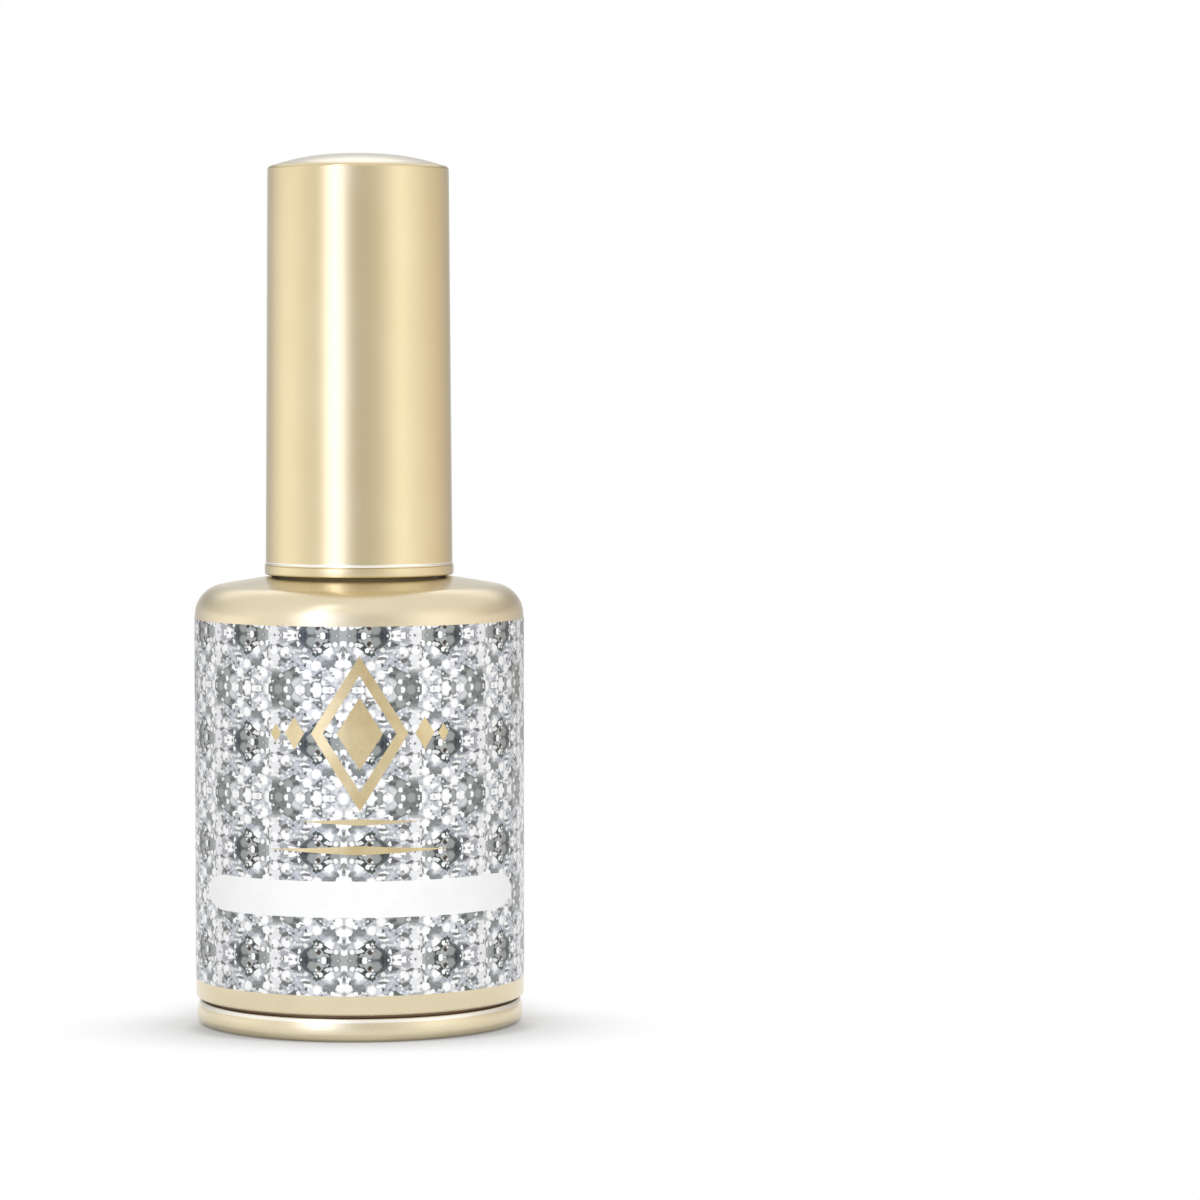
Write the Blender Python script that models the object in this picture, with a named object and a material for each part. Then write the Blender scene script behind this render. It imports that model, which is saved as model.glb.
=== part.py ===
"""A nail polish bottle.

A threaded glass bottle on a foot ring, with a wrap label round it and polish in it, is closed by a
gold screw cap. The cap carries the brush and a two-ply liner. Metres, +Z up, and the origin lies on
the bottle's axis in the plane that it stands on.
"""

import math

import bmesh
import bpy
from mathutils import Vector
from mathutils.geometry import delaunay_2d_cdt

MM = 0.001

# Glass body
BODY_RADIUS = 15.5 * MM
BODY_TOP = 38.5 * MM
WALL = 2.2 * MM
FLOOR_HEIGHT = 5.0 * MM
FLOOR_CORNER = 2.0 * MM
SHOULDER_CORNER = 2.9 * MM
SHOULDER_SLOPE_DEG = 9.5
LEAST_INNER_CORNER = 0.3 * MM

# Foot ring, set off from the body by a groove
FOOT_HEIGHT = 2.2 * MM
FOOT_INSET = 0.1 * MM
FOOT_TOP_INSET = 0.4 * MM
FOOT_EDGE_ROUND = 0.7 * MM
FOOT_BAND = 0.1 * MM
GROOVE_DEPTH = 0.8 * MM
GROOVE_HEIGHT = 0.3 * MM
GROOVE_LIP = 0.2 * MM
STANDING_RING = 3.0 * MM
PUNT_DEPTH = 0.8 * MM

# Neck and its thread
NECK_RADIUS = 6.6 * MM
NECK_WALL = 2.3 * MM
NECK_HEIGHT = 14.0 * MM
NECK_FILLET = 0.7 * MM
COLLAR_HEIGHT = 1.6 * MM
RIM_ROUND = 0.6 * MM
THREAD_DEPTH = 0.7 * MM
THREAD_PITCH = 2.117 * MM
THREAD_ROOT = 1.3 * MM
THREAD_CREST = 0.6 * MM
THREAD_DROP = 2.0 * MM
THREAD_BURIED = 0.2 * MM
THREAD_RUN_OUT_DEG = 25.0
NECK_THREAD_TURNS = 1.25
CAP_THREAD_TURNS = 1.0
CAP_THREAD_LAG = 0.25

# Wrap label in its shallow panel
LABEL_ABOVE_GROOVE = 2.1 * MM
LABEL_BELOW_SHOULDER = 0.3 * MM
LABEL_THICKNESS = 0.15 * MM
LABEL_GLUE_GAP = 0.1 * MM
LABEL_PROUD = 0.05 * MM
PANEL_MARGIN = 0.1 * MM

# Polish
HEADSPACE = 6.2 * MM
POLISH_GAP = 0.1 * MM
WELL_GAP = 0.4 * MM

# Gold cap shell
CAP_GAP = 0.15 * MM
CAP_HEIGHT = 38.4 * MM
CAP_DRAFT = 0.38 * MM
CAP_DOME = 1.2 * MM
CAP_DOME_FLATNESS = 2.4
CAP_EDGE_ROUND = 0.4 * MM
CAP_LOWER_ROUND = 0.25 * MM
SHELL_WALL = 0.6 * MM
BEAD_HEIGHT = 0.95 * MM
BEAD_WIDTH = 0.5 * MM
BEAD_RISE = 0.06 * MM

# Threaded inner cap
INNER_WALL = 0.6 * MM
UPPER_WALL = 0.8 * MM
CEILING = 1.2 * MM
POST_WALL = 0.9 * MM
SKIRT_RECESS = 0.5 * MM
THREAD_GAP = 0.3 * MM
THREAD_PLAY = 0.3 * MM
SHELL_FIT = 0.12 * MM

# Two-ply liner, and the stem's flange above it
FACING_THICKNESS = 0.5 * MM
PAD_THICKNESS = 1.0 * MM
FLANGE_THICKNESS = 1.0 * MM
STACK_GAP = 0.1 * MM
LINER_FIT = 0.3 * MM

# Brush
PLUG_RADIUS = 2.4 * MM
PLUG_HEIGHT = 9.0 * MM
PLUG_CHAMFER = 0.5 * MM
PLUG_FIT = 0.1 * MM
STEM_TIP_WALL = 0.45 * MM
STEM_TIP_ROUND = 0.3 * MM
STEM_DRAFT = 0.25 * MM
TIP_CLEARANCE = 1.2 * MM
BRISTLE_LENGTH = 13.5 * MM
BRISTLE_COUNT = 300
BRISTLE_RADIUS = 0.045 * MM
BRISTLE_SEAT = 0.8 * MM
TUFT_RADIUS = 1.3 * MM
TUFT_SPLAY = 1.25
TUFT_TIP_DOME = 1.6 * MM
TUFT_ROOT = 1.2 * MM
TUFT_FIT = 0.1 * MM
STAPLE_HEIGHT = 1.4 * MM
STAPLE_THICKNESS = 0.4 * MM

# Facets
ROUND_SEGMENTS = 48
STEM_SEGMENTS = 24
WIDE_ARC_STEPS = 6
SMALL_ARC_STEPS = 3
THREAD_STEPS_PER_TURN = 36
WELD = 0.001 * MM
SHARP_ANGLE = math.radians(35.0)

# Radii and heights that follow from the sizes above
INNER_RADIUS = BODY_RADIUS - WALL
INNER_CORNER = max(SHOULDER_CORNER - WALL, LEAST_INNER_CORNER)
FOOT_RADIUS = BODY_RADIUS - FOOT_INSET
FOOT_TOP_ROUND = FOOT_HEIGHT - FOOT_EDGE_ROUND - FOOT_BAND
GROOVE_RADIUS = BODY_RADIUS - GROOVE_DEPTH
GROOVE_TOP = FOOT_HEIGHT + GROOVE_HEIGHT
BORE_RADIUS = NECK_RADIUS - NECK_WALL
COLLAR_RADIUS = NECK_RADIUS + THREAD_DEPTH
SHOULDER_RISE = math.tan(math.radians(SHOULDER_SLOPE_DEG))

LABEL_BOTTOM = FOOT_HEIGHT + LABEL_ABOVE_GROOVE
LABEL_TOP = BODY_TOP - LABEL_BELOW_SHOULDER
LABEL_RADIUS = BODY_RADIUS + LABEL_PROUD
LABEL_INNER_RADIUS = LABEL_RADIUS - LABEL_THICKNESS
PANEL_RADIUS = LABEL_INNER_RADIUS - LABEL_GLUE_GAP


def slope_height(corner, inset, radius):
    """Height of a shoulder's slope at a radius, above a rounded corner whose outside lies at inset."""
    angle = math.radians(SHOULDER_SLOPE_DEG)
    edge_radius = inset - corner + corner * math.sin(angle)
    edge_height = BODY_TOP + corner * math.cos(angle)
    return edge_height + (edge_radius - radius) * SHOULDER_RISE


NECK_BASE = slope_height(SHOULDER_CORNER, BODY_RADIUS, COLLAR_RADIUS)
COLLAR_TOP = NECK_BASE + COLLAR_HEIGHT
RIM = NECK_BASE + NECK_HEIGHT
NECK_THREAD_BOTTOM = RIM - THREAD_DROP - NECK_THREAD_TURNS * THREAD_PITCH

CAP_BORE_RADIUS = COLLAR_RADIUS + THREAD_GAP
INNER_CAP_RADIUS = CAP_BORE_RADIUS + INNER_WALL
CAP_RADIUS = INNER_CAP_RADIUS + SHELL_FIT + SHELL_WALL
CAP_BOTTOM = slope_height(SHOULDER_CORNER, BODY_RADIUS, CAP_RADIUS - SHELL_WALL) + CAP_GAP
CAP_SIDE_TOP = CAP_BOTTOM + CAP_HEIGHT
CAP_TOP_RADIUS = CAP_RADIUS - CAP_DRAFT

FACING_BOTTOM = RIM + STACK_GAP
PAD_BOTTOM = FACING_BOTTOM + FACING_THICKNESS + STACK_GAP
FLANGE_BOTTOM = PAD_BOTTOM + PAD_THICKNESS + STACK_GAP
FLANGE_TOP = FLANGE_BOTTOM + FLANGE_THICKNESS
CEILING_BOTTOM = FLANGE_TOP + STACK_GAP

TUFT_TIP = FLOOR_HEIGHT + TIP_CLEARANCE
STEM_END = TUFT_TIP + BRISTLE_LENGTH
TUFT_HOLE_RADIUS = TUFT_RADIUS + TUFT_FIT
STEM_TIP_RADIUS = TUFT_HOLE_RADIUS + STEM_TIP_WALL
STEM_TOP_RADIUS = STEM_TIP_RADIUS + STEM_DRAFT
STRAND_START = STEM_END + BRISTLE_SEAT
STAPLE_BOTTOM = STRAND_START + TUFT_ROOT + TUFT_FIT
TUFT_HOLE_TOP = STAPLE_BOTTOM + STAPLE_HEIGHT + TUFT_FIT
LINER_BORE_RADIUS = STEM_TOP_RADIUS + LINER_FIT

POLISH_TOP = BODY_TOP - HEADSPACE
WELL_RADIUS = max(STEM_TOP_RADIUS, TUFT_RADIUS * TUFT_SPLAY) + WELL_GAP


def arc(centre, radii, start_deg, end_deg, steps):
    """Points on an ellipse's arc in the plane of radius and height, from one angle to another."""
    points = []
    for step in range(steps + 1):
        angle = math.radians(start_deg + (end_deg - start_deg) * step / steps)
        points.append((centre[0] + radii[0] * math.cos(angle), centre[1] + radii[1] * math.sin(angle)))
    return points


def round_arc(centre, radius, start_deg, end_deg, steps=SMALL_ARC_STEPS):
    return arc(centre, (radius, radius), start_deg, end_deg, steps)


def dome(edge_radius, edge_height, rise, steps):
    """A shallow dome's points, from the axis out to its edge."""
    shares = [step / steps for step in range(steps + 1)]
    return [(edge_radius * share, edge_height + rise * (1 - share**CAP_DOME_FLATNESS)) for share in shares]


def turned(profile, segments, closed=False):
    """A solid of revolution: the profile is spun round Z, and closed if it doesn't end on the axis."""
    bm = bmesh.new()
    verts = [bm.verts.new((radius, 0, height)) for radius, height in profile]
    pairs = list(zip(verts, verts[1:]))
    if closed:
        pairs.append((verts[-1], verts[0]))
    edges = [bm.edges.new(pair) for pair in pairs]
    bmesh.ops.spin(
        bm,
        geom=verts + edges,
        cent=(0, 0, 0),
        axis=(0, 0, 1),
        angle=math.tau,
        steps=segments,
        use_merge=True,
    )
    bmesh.ops.remove_doubles(bm, verts=bm.verts, dist=WELD)
    bmesh.ops.recalc_face_normals(bm, faces=bm.faces)
    return bm


def thread_bead(wall_radius, crest_radius, width_at, bottom, first_turn, turns):
    """A helical bead on a wall. Its ends run out into the wall, and width_at gives its width at a radius."""
    outward = 1 if crest_radius > wall_radius else -1
    buried_radius = wall_radius - outward * THREAD_BURIED
    run_out_turns = THREAD_RUN_OUT_DEG / 360
    bm = bmesh.new()
    rings = []
    steps = round(turns * THREAD_STEPS_PER_TURN)
    for step in range(steps + 1):
        along = turns * step / steps
        height = bottom + (first_turn + along) * THREAD_PITCH
        angle = (first_turn + along) * math.tau
        share = min(1, along / run_out_turns, (turns - along) / run_out_turns)
        crest = buried_radius + (crest_radius - buried_radius) * max(share, THREAD_BURIED / THREAD_PITCH)
        corners = [
            (buried_radius, -width_at(wall_radius) / 2),
            (crest, -width_at(crest_radius) / 2),
            (crest, width_at(crest_radius) / 2),
            (buried_radius, width_at(wall_radius) / 2),
        ]
        ring = [
            bm.verts.new((radius * math.cos(angle), radius * math.sin(angle), height + offset))
            for radius, offset in corners
        ]
        rings.append(ring)
    for ring, following in zip(rings, rings[1:]):
        for side in range(4):
            after = (side + 1) % 4
            bm.faces.new((ring[side], ring[after], following[after], following[side]))
    bm.faces.new(rings[0])
    bm.faces.new(rings[-1])
    bmesh.ops.recalc_face_normals(bm, faces=bm.faces)
    return bm


def neck_thread_width(radius):
    return THREAD_ROOT - (THREAD_ROOT - THREAD_CREST) * (radius - NECK_RADIUS) / THREAD_DEPTH


def cap_thread_width(radius):
    """The room that the neck's thread leaves between its turns, less the play on both flanks."""
    return THREAD_PITCH - neck_thread_width(radius) - 2 * THREAD_PLAY


def material(name, colour, roughness, metallic=0.0):
    made = bpy.data.materials.new(name)
    made.use_nodes = True
    shader = made.node_tree.nodes["Principled BSDF"]
    shader.inputs["Base Color"].default_value = (*colour, 1.0)
    shader.inputs["Roughness"].default_value = roughness
    shader.inputs["Metallic"].default_value = metallic
    made.diffuse_color = (*colour, 1.0)
    return made


def axis_frame(name, height, parent=None):
    """An empty on the bottle's axis, which carries the pieces that move together."""
    frame = bpy.data.objects.new(name, None)
    bpy.context.scene.collection.objects.link(frame)
    frame.location.z = height
    if parent:
        frame.parent = parent
        frame.location.z -= parent.matrix_world.translation.z
    bpy.context.view_layer.update()
    return frame


def add_piece(name, bm, finish, frame):
    """Makes an object of a mesh drawn in place, with its origin at its frame on the axis."""
    bmesh.ops.translate(bm, verts=bm.verts, vec=-frame.matrix_world.translation)
    mesh = bpy.data.meshes.new(name)
    bm.to_mesh(mesh)
    bm.free()
    mesh.shade_smooth()
    mesh.set_sharp_from_angle(angle=SHARP_ANGLE)
    mesh.materials.append(finish)
    piece = bpy.data.objects.new(name, mesh)
    piece.parent = frame
    bpy.context.scene.collection.objects.link(piece)
    return piece


def join_bead(piece, bm, finish, frame):
    """Fuses a thread to the piece that it is moulded on."""
    bead = add_piece(piece.name + "_thread", bm, finish, frame)
    bead.hide_render = True
    bead.display_type = "WIRE"
    union = piece.modifiers.new("thread", "BOOLEAN")
    union.operation = "UNION"
    union.solver = "EXACT"
    union.object = bead


def glass_bottle(frame):
    ring_inner_radius = FOOT_RADIUS - FOOT_EDGE_ROUND - STANDING_RING
    fillet_radius = COLLAR_RADIUS + NECK_FILLET
    fillet_height = slope_height(SHOULDER_CORNER, BODY_RADIUS, fillet_radius)
    slope_end_deg = 90 - SHOULDER_SLOPE_DEG
    panel_bottom = LABEL_BOTTOM - PANEL_MARGIN
    panel_top = LABEL_TOP + PANEL_MARGIN
    underside = arc((0, 0), (ring_inner_radius, PUNT_DEPTH), 90, 0, WIDE_ARC_STEPS)
    foot = round_arc((FOOT_RADIUS - FOOT_EDGE_ROUND, FOOT_EDGE_ROUND), FOOT_EDGE_ROUND, -90, 0)
    foot += arc(
        (FOOT_RADIUS - FOOT_TOP_INSET, FOOT_HEIGHT - FOOT_TOP_ROUND),
        (FOOT_TOP_INSET, FOOT_TOP_ROUND),
        0,
        90,
        WIDE_ARC_STEPS,
    )
    groove = [(GROOVE_RADIUS, FOOT_HEIGHT), (GROOVE_RADIUS, GROOVE_TOP)]
    groove += round_arc((BODY_RADIUS - GROOVE_LIP, GROOVE_TOP + GROOVE_LIP), GROOVE_LIP, -90, 0)
    panel = [
        (BODY_RADIUS, panel_bottom),
        (PANEL_RADIUS, panel_bottom),
        (PANEL_RADIUS, panel_top),
        (BODY_RADIUS, panel_top),
    ]
    shoulder_centre = (BODY_RADIUS - SHOULDER_CORNER, BODY_TOP)
    shoulder = round_arc(shoulder_centre, SHOULDER_CORNER, 0, slope_end_deg, WIDE_ARC_STEPS)
    neck = round_arc((fillet_radius, fillet_height + NECK_FILLET), NECK_FILLET, 270, 180)
    neck += [(COLLAR_RADIUS, COLLAR_TOP), (NECK_RADIUS, COLLAR_TOP + THREAD_DEPTH)]
    neck += round_arc((NECK_RADIUS - RIM_ROUND, RIM - RIM_ROUND), RIM_ROUND, 0, 90)
    neck += round_arc((BORE_RADIUS + RIM_ROUND, RIM - RIM_ROUND), RIM_ROUND, 90, 180)
    inside = [(BORE_RADIUS, slope_height(INNER_CORNER, INNER_RADIUS, BORE_RADIUS))]
    inside += round_arc((INNER_RADIUS - INNER_CORNER, BODY_TOP), INNER_CORNER, slope_end_deg, 0)
    inside += round_arc((INNER_RADIUS - FLOOR_CORNER, FLOOR_HEIGHT + FLOOR_CORNER), FLOOR_CORNER, 0, -90)
    inside += [(0, FLOOR_HEIGHT)]
    profile = underside + foot + groove + panel + shoulder + neck + inside
    finish = material("gold_lacquered_glass", (0.76, 0.66, 0.43), 0.25, 0.9)
    bottle = add_piece("glass_bottle", turned(profile, ROUND_SEGMENTS), finish, frame)
    bead = thread_bead(
        NECK_RADIUS, COLLAR_RADIUS, neck_thread_width, NECK_THREAD_BOTTOM, 0, NECK_THREAD_TURNS
    )
    join_bead(bottle, bead, finish, frame)


def wrap_label(frame):
    profile = [
        (LABEL_RADIUS, LABEL_TOP),
        (LABEL_RADIUS, LABEL_BOTTOM),
        (LABEL_INNER_RADIUS, LABEL_BOTTOM),
        (LABEL_INNER_RADIUS, LABEL_TOP),
    ]
    finish = material("silver_glitter_film", (0.62, 0.63, 0.64), 0.3, 0.3)
    add_piece("wrap_label", turned(profile, ROUND_SEGMENTS, closed=True), finish, frame)


def polish(frame):
    """The fill, with the well that the brush stands in."""
    radius = INNER_RADIUS - POLISH_GAP
    bottom = FLOOR_HEIGHT + POLISH_GAP
    well_floor = max(TUFT_TIP - WELL_GAP, (TUFT_TIP + bottom) / 2)
    profile = [(0, well_floor), (WELL_RADIUS, well_floor), (WELL_RADIUS, POLISH_TOP), (radius, POLISH_TOP)]
    profile += round_arc((radius - FLOOR_CORNER, bottom + FLOOR_CORNER), FLOOR_CORNER, 0, -90)
    profile += [(0, bottom)]
    finish = material("silver_polish", (0.60, 0.61, 0.62), 0.25, 0.4)
    add_piece("polish", turned(profile, ROUND_SEGMENTS), finish, frame)


def cap_radius(height):
    """Outer radius of the cap's side, which narrows towards the top."""
    return CAP_RADIUS - CAP_DRAFT * (height - CAP_BOTTOM) / CAP_HEIGHT


def cap_shell(frame):
    dome_radius = CAP_TOP_RADIUS - CAP_EDGE_ROUND
    inner_top = CAP_SIDE_TOP - SHELL_WALL
    bead = CAP_BOTTOM + BEAD_HEIGHT
    outside = dome(dome_radius, CAP_SIDE_TOP, CAP_DOME, WIDE_ARC_STEPS)
    outside += round_arc((dome_radius, CAP_SIDE_TOP - CAP_EDGE_ROUND), CAP_EDGE_ROUND, 60, 0)
    outside += [
        (cap_radius(bead + BEAD_WIDTH / 2), bead + BEAD_WIDTH / 2),
        (cap_radius(bead) + BEAD_RISE, bead),
        (CAP_RADIUS, bead - BEAD_WIDTH / 2),
    ]
    lower_centre = (CAP_RADIUS - CAP_LOWER_ROUND, CAP_BOTTOM + CAP_LOWER_ROUND)
    outside += round_arc(lower_centre, CAP_LOWER_ROUND, 0, -90)
    inside = [(CAP_RADIUS - SHELL_WALL, CAP_BOTTOM)]
    inside += reversed(dome(cap_radius(inner_top) - SHELL_WALL, inner_top, CAP_DOME, WIDE_ARC_STEPS))
    finish = material("gold_shell", (0.78, 0.67, 0.42), 0.22, 1.0)
    add_piece("cap_shell", turned(outside + inside, ROUND_SEGMENTS), finish, frame)


def inner_cap(frame):
    bottom = CAP_BOTTOM + SKIRT_RECESS
    top = CAP_SIDE_TOP - SHELL_WALL - SHELL_FIT
    chamber_floor = CEILING_BOTTOM + CEILING
    socket_radius = PLUG_RADIUS + PLUG_FIT
    socket_top = FLANGE_TOP + PLUG_HEIGHT + PLUG_FIT
    post_radius = socket_radius + POST_WALL
    post_top = socket_top + POST_WALL
    outer_inset = SHELL_WALL + SHELL_FIT
    profile = [
        (0, post_top),
        (post_radius, post_top),
        (post_radius, chamber_floor),
        (cap_radius(chamber_floor) - outer_inset - UPPER_WALL, chamber_floor),
        (cap_radius(top) - outer_inset - UPPER_WALL, top),
        (cap_radius(top) - outer_inset, top),
        (cap_radius(bottom) - outer_inset, bottom),
        (CAP_BORE_RADIUS, bottom),
        (CAP_BORE_RADIUS, CEILING_BOTTOM),
        (socket_radius, CEILING_BOTTOM),
        (socket_radius, socket_top),
        (0, socket_top),
    ]
    finish = material("natural_plastic", (0.83, 0.82, 0.79), 0.45)
    cap = add_piece("inner_cap", turned(profile, ROUND_SEGMENTS), finish, frame)
    crest_radius = NECK_RADIUS + THREAD_GAP
    bead = thread_bead(
        CAP_BORE_RADIUS,
        crest_radius,
        cap_thread_width,
        NECK_THREAD_BOTTOM - THREAD_PITCH / 2,
        -CAP_THREAD_LAG,
        CAP_THREAD_TURNS,
    )
    join_bead(cap, bead, finish, frame)


def liner_ring(name, bottom, thickness, finish, frame):
    profile = [
        (NECK_RADIUS, bottom + thickness),
        (NECK_RADIUS, bottom),
        (LINER_BORE_RADIUS, bottom),
        (LINER_BORE_RADIUS, bottom + thickness),
    ]
    add_piece(name, turned(profile, ROUND_SEGMENTS, closed=True), finish, frame)


def brush_stem(frame):
    plug_top = FLANGE_TOP + PLUG_HEIGHT
    profile = [
        (0, plug_top),
        (PLUG_RADIUS - PLUG_CHAMFER, plug_top),
        (PLUG_RADIUS, plug_top - PLUG_CHAMFER),
        (PLUG_RADIUS, FLANGE_TOP),
        (NECK_RADIUS, FLANGE_TOP),
        (NECK_RADIUS, FLANGE_BOTTOM),
        (STEM_TOP_RADIUS, FLANGE_BOTTOM),
    ]
    tip_centre = (STEM_TIP_RADIUS - STEM_TIP_ROUND, STEM_END + STEM_TIP_ROUND)
    profile += round_arc(tip_centre, STEM_TIP_ROUND, 0, -90)
    profile += [(TUFT_HOLE_RADIUS, STEM_END), (TUFT_HOLE_RADIUS, TUFT_HOLE_TOP), (0, TUFT_HOLE_TOP)]
    finish = material("black_plastic", (0.02, 0.02, 0.022), 0.4)
    add_piece("brush_stem", turned(profile, STEM_SEGMENTS), finish, frame)


def strand_corners(centre):
    """The three corners of one bristle's section."""
    angles = [math.tau * corner / 3 for corner in range(3)]
    return [centre + BRISTLE_RADIUS * Vector((math.cos(angle), math.sin(angle))) for angle in angles]


def strand_centres():
    """Even places for the bristles, spread over the tuft's root as on a sunflower's head."""
    golden_angle = math.pi * (3 - math.sqrt(5))
    spread = TUFT_RADIUS - 2 * BRISTLE_RADIUS
    centres = []
    for strand in range(BRISTLE_COUNT):
        radius = spread * math.sqrt((strand + 0.5) / BRISTLE_COUNT)
        angle = strand * golden_angle
        centres.append(radius * Vector((math.cos(angle), math.sin(angle))))
    return centres


def bristle_tuft(frame):
    """Bristles grown from a slice of their root: each is drawn out of its own small face, and none cross."""
    rim_angles = [math.tau * side / STEM_SEGMENTS for side in range(STEM_SEGMENTS)]
    flat = [TUFT_RADIUS * Vector((math.cos(angle), math.sin(angle))) for angle in rim_angles]
    outlines = [list(range(STEM_SEGMENTS))]
    for centre in strand_centres():
        outlines.append([len(flat), len(flat) + 1, len(flat) + 2])
        flat += strand_corners(centre)
    in_mm = [point / MM for point in flat]
    made = delaunay_2d_cdt(in_mm, [], outlines, 1, WELD / MM)
    points, triangles, sources = made[0], made[2], made[5]

    bm = bmesh.new()
    verts = [bm.verts.new((point.x * MM, point.y * MM, STRAND_START)) for point in points]
    faces = [bm.faces.new([verts[index] for index in triangle]) for triangle in triangles]
    strand_faces = [face for face, source in zip(faces, sources) if any(source)]
    rim = [edge for edge in bm.edges if edge.is_boundary]

    drawn = bmesh.ops.extrude_discrete_faces(bm, faces=strand_faces)["faces"]
    for vert in {vert for face in drawn for vert in face.verts}:
        share = Vector(vert.co[:2]).length / TUFT_RADIUS
        vert.co.x *= TUFT_SPLAY
        vert.co.y *= TUFT_SPLAY
        vert.co.z = TUFT_TIP + TUFT_TIP_DOME * share * share

    raised = bmesh.ops.extrude_edge_only(bm, edges=rim)["geom"]
    raised_edges = [item for item in raised if isinstance(item, bmesh.types.BMEdge)]
    raised_verts = [item for item in raised if isinstance(item, bmesh.types.BMVert)]
    bmesh.ops.translate(bm, verts=raised_verts, vec=(0, 0, TUFT_ROOT))
    top_rim = [edge for edge in raised_edges if edge.is_boundary]
    bmesh.ops.edgeloop_fill(bm, edges=top_rim)
    bmesh.ops.recalc_face_normals(bm, faces=bm.faces)
    finish = material("black_nylon", (0.03, 0.028, 0.026), 0.5)
    add_piece("bristle_tuft", bm, finish, frame)


def bristle_staple(frame):
    """The flat wire that anchors the bristles in the stem's end."""
    half_width = math.sqrt(TUFT_RADIUS**2 - STAPLE_THICKNESS**2) - TUFT_FIT
    bm = bmesh.new()
    bmesh.ops.create_cube(bm, size=1)
    bmesh.ops.scale(bm, verts=bm.verts, vec=(2 * half_width, STAPLE_THICKNESS, STAPLE_HEIGHT))
    bmesh.ops.bevel(
        bm, geom=bm.edges, offset=STAPLE_THICKNESS / 4, segments=1, affect="EDGES", profile=0.5
    )
    bmesh.ops.translate(bm, verts=bm.verts, vec=(0, 0, STAPLE_BOTTOM + STAPLE_HEIGHT / 2))
    finish = material("staple_wire", (0.72, 0.70, 0.66), 0.3, 1.0)
    add_piece("bristle_staple", bm, finish, frame)


def main():
    for old in list(bpy.data.objects):
        bpy.data.objects.remove(old)
    bottle_frame = axis_frame("bottle_frame", 0)
    lift_frame = axis_frame("lift_frame", RIM, bottle_frame)
    rise_frame = axis_frame("rise_frame", RIM, lift_frame)
    turn_frame = axis_frame("turn_frame", RIM, rise_frame)

    glass_bottle(bottle_frame)
    wrap_label(bottle_frame)
    polish(bottle_frame)

    facing_finish = material("liner_film", (0.88, 0.88, 0.86), 0.3)
    pad_finish = material("liner_foam", (0.92, 0.92, 0.90), 0.7)
    liner_ring("liner_facing", FACING_BOTTOM, FACING_THICKNESS, facing_finish, lift_frame)
    liner_ring("liner_pad", PAD_BOTTOM, PAD_THICKNESS, pad_finish, rise_frame)

    cap_shell(turn_frame)
    inner_cap(turn_frame)
    brush_stem(turn_frame)
    bristle_tuft(turn_frame)
    bristle_staple(turn_frame)


main()
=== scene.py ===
"""The looks of a nail polish bottle.

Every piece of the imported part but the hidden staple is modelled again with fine, round surfaces, and all
are finished: the gold lacquered glass, the glitter wrap label with its white panel and gold foil, the
champagne gold cap, and the brush, inner cap, liner and polish that show once the cap is off. Metres, +Z
up. The label's front faces -Y, and the bottle's axis is the Z axis.
"""

import math

import bpy
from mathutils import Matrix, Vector


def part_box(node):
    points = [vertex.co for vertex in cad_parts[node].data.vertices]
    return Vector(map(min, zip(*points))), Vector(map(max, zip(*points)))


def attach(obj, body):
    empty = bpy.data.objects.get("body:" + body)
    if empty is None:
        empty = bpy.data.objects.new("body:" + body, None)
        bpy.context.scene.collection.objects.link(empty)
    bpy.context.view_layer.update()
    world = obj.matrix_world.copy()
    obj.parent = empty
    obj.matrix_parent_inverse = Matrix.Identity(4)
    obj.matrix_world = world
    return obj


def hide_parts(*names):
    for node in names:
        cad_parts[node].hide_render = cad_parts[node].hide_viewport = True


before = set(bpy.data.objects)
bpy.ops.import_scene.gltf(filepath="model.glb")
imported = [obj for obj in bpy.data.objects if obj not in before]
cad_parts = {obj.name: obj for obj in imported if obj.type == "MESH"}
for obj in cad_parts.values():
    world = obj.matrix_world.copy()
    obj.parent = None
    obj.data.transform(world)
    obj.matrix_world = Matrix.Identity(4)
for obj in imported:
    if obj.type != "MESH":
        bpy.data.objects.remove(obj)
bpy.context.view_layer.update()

MM = 0.001
AXIS_TOP = Vector((0, 0, 1))

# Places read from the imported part
BODY_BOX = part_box("glass_bottle")
LABEL_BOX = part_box("wrap_label")
CAP_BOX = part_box("cap_shell")
INNER_CAP_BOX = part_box("inner_cap")
FACING_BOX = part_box("liner_facing")
PAD_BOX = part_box("liner_pad")
STEM_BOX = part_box("brush_stem")
TUFT_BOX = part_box("bristle_tuft")
POLISH_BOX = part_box("polish")
BODY_RADIUS = BODY_BOX[1].x
RIM = BODY_BOX[1].z
CAP_BOTTOM = CAP_BOX[0].z
CAP_TOP = CAP_BOX[1].z
BEAD_RISE = 0.06 * MM
CAP_RADIUS = CAP_BOX[1].x - BEAD_RISE

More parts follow.
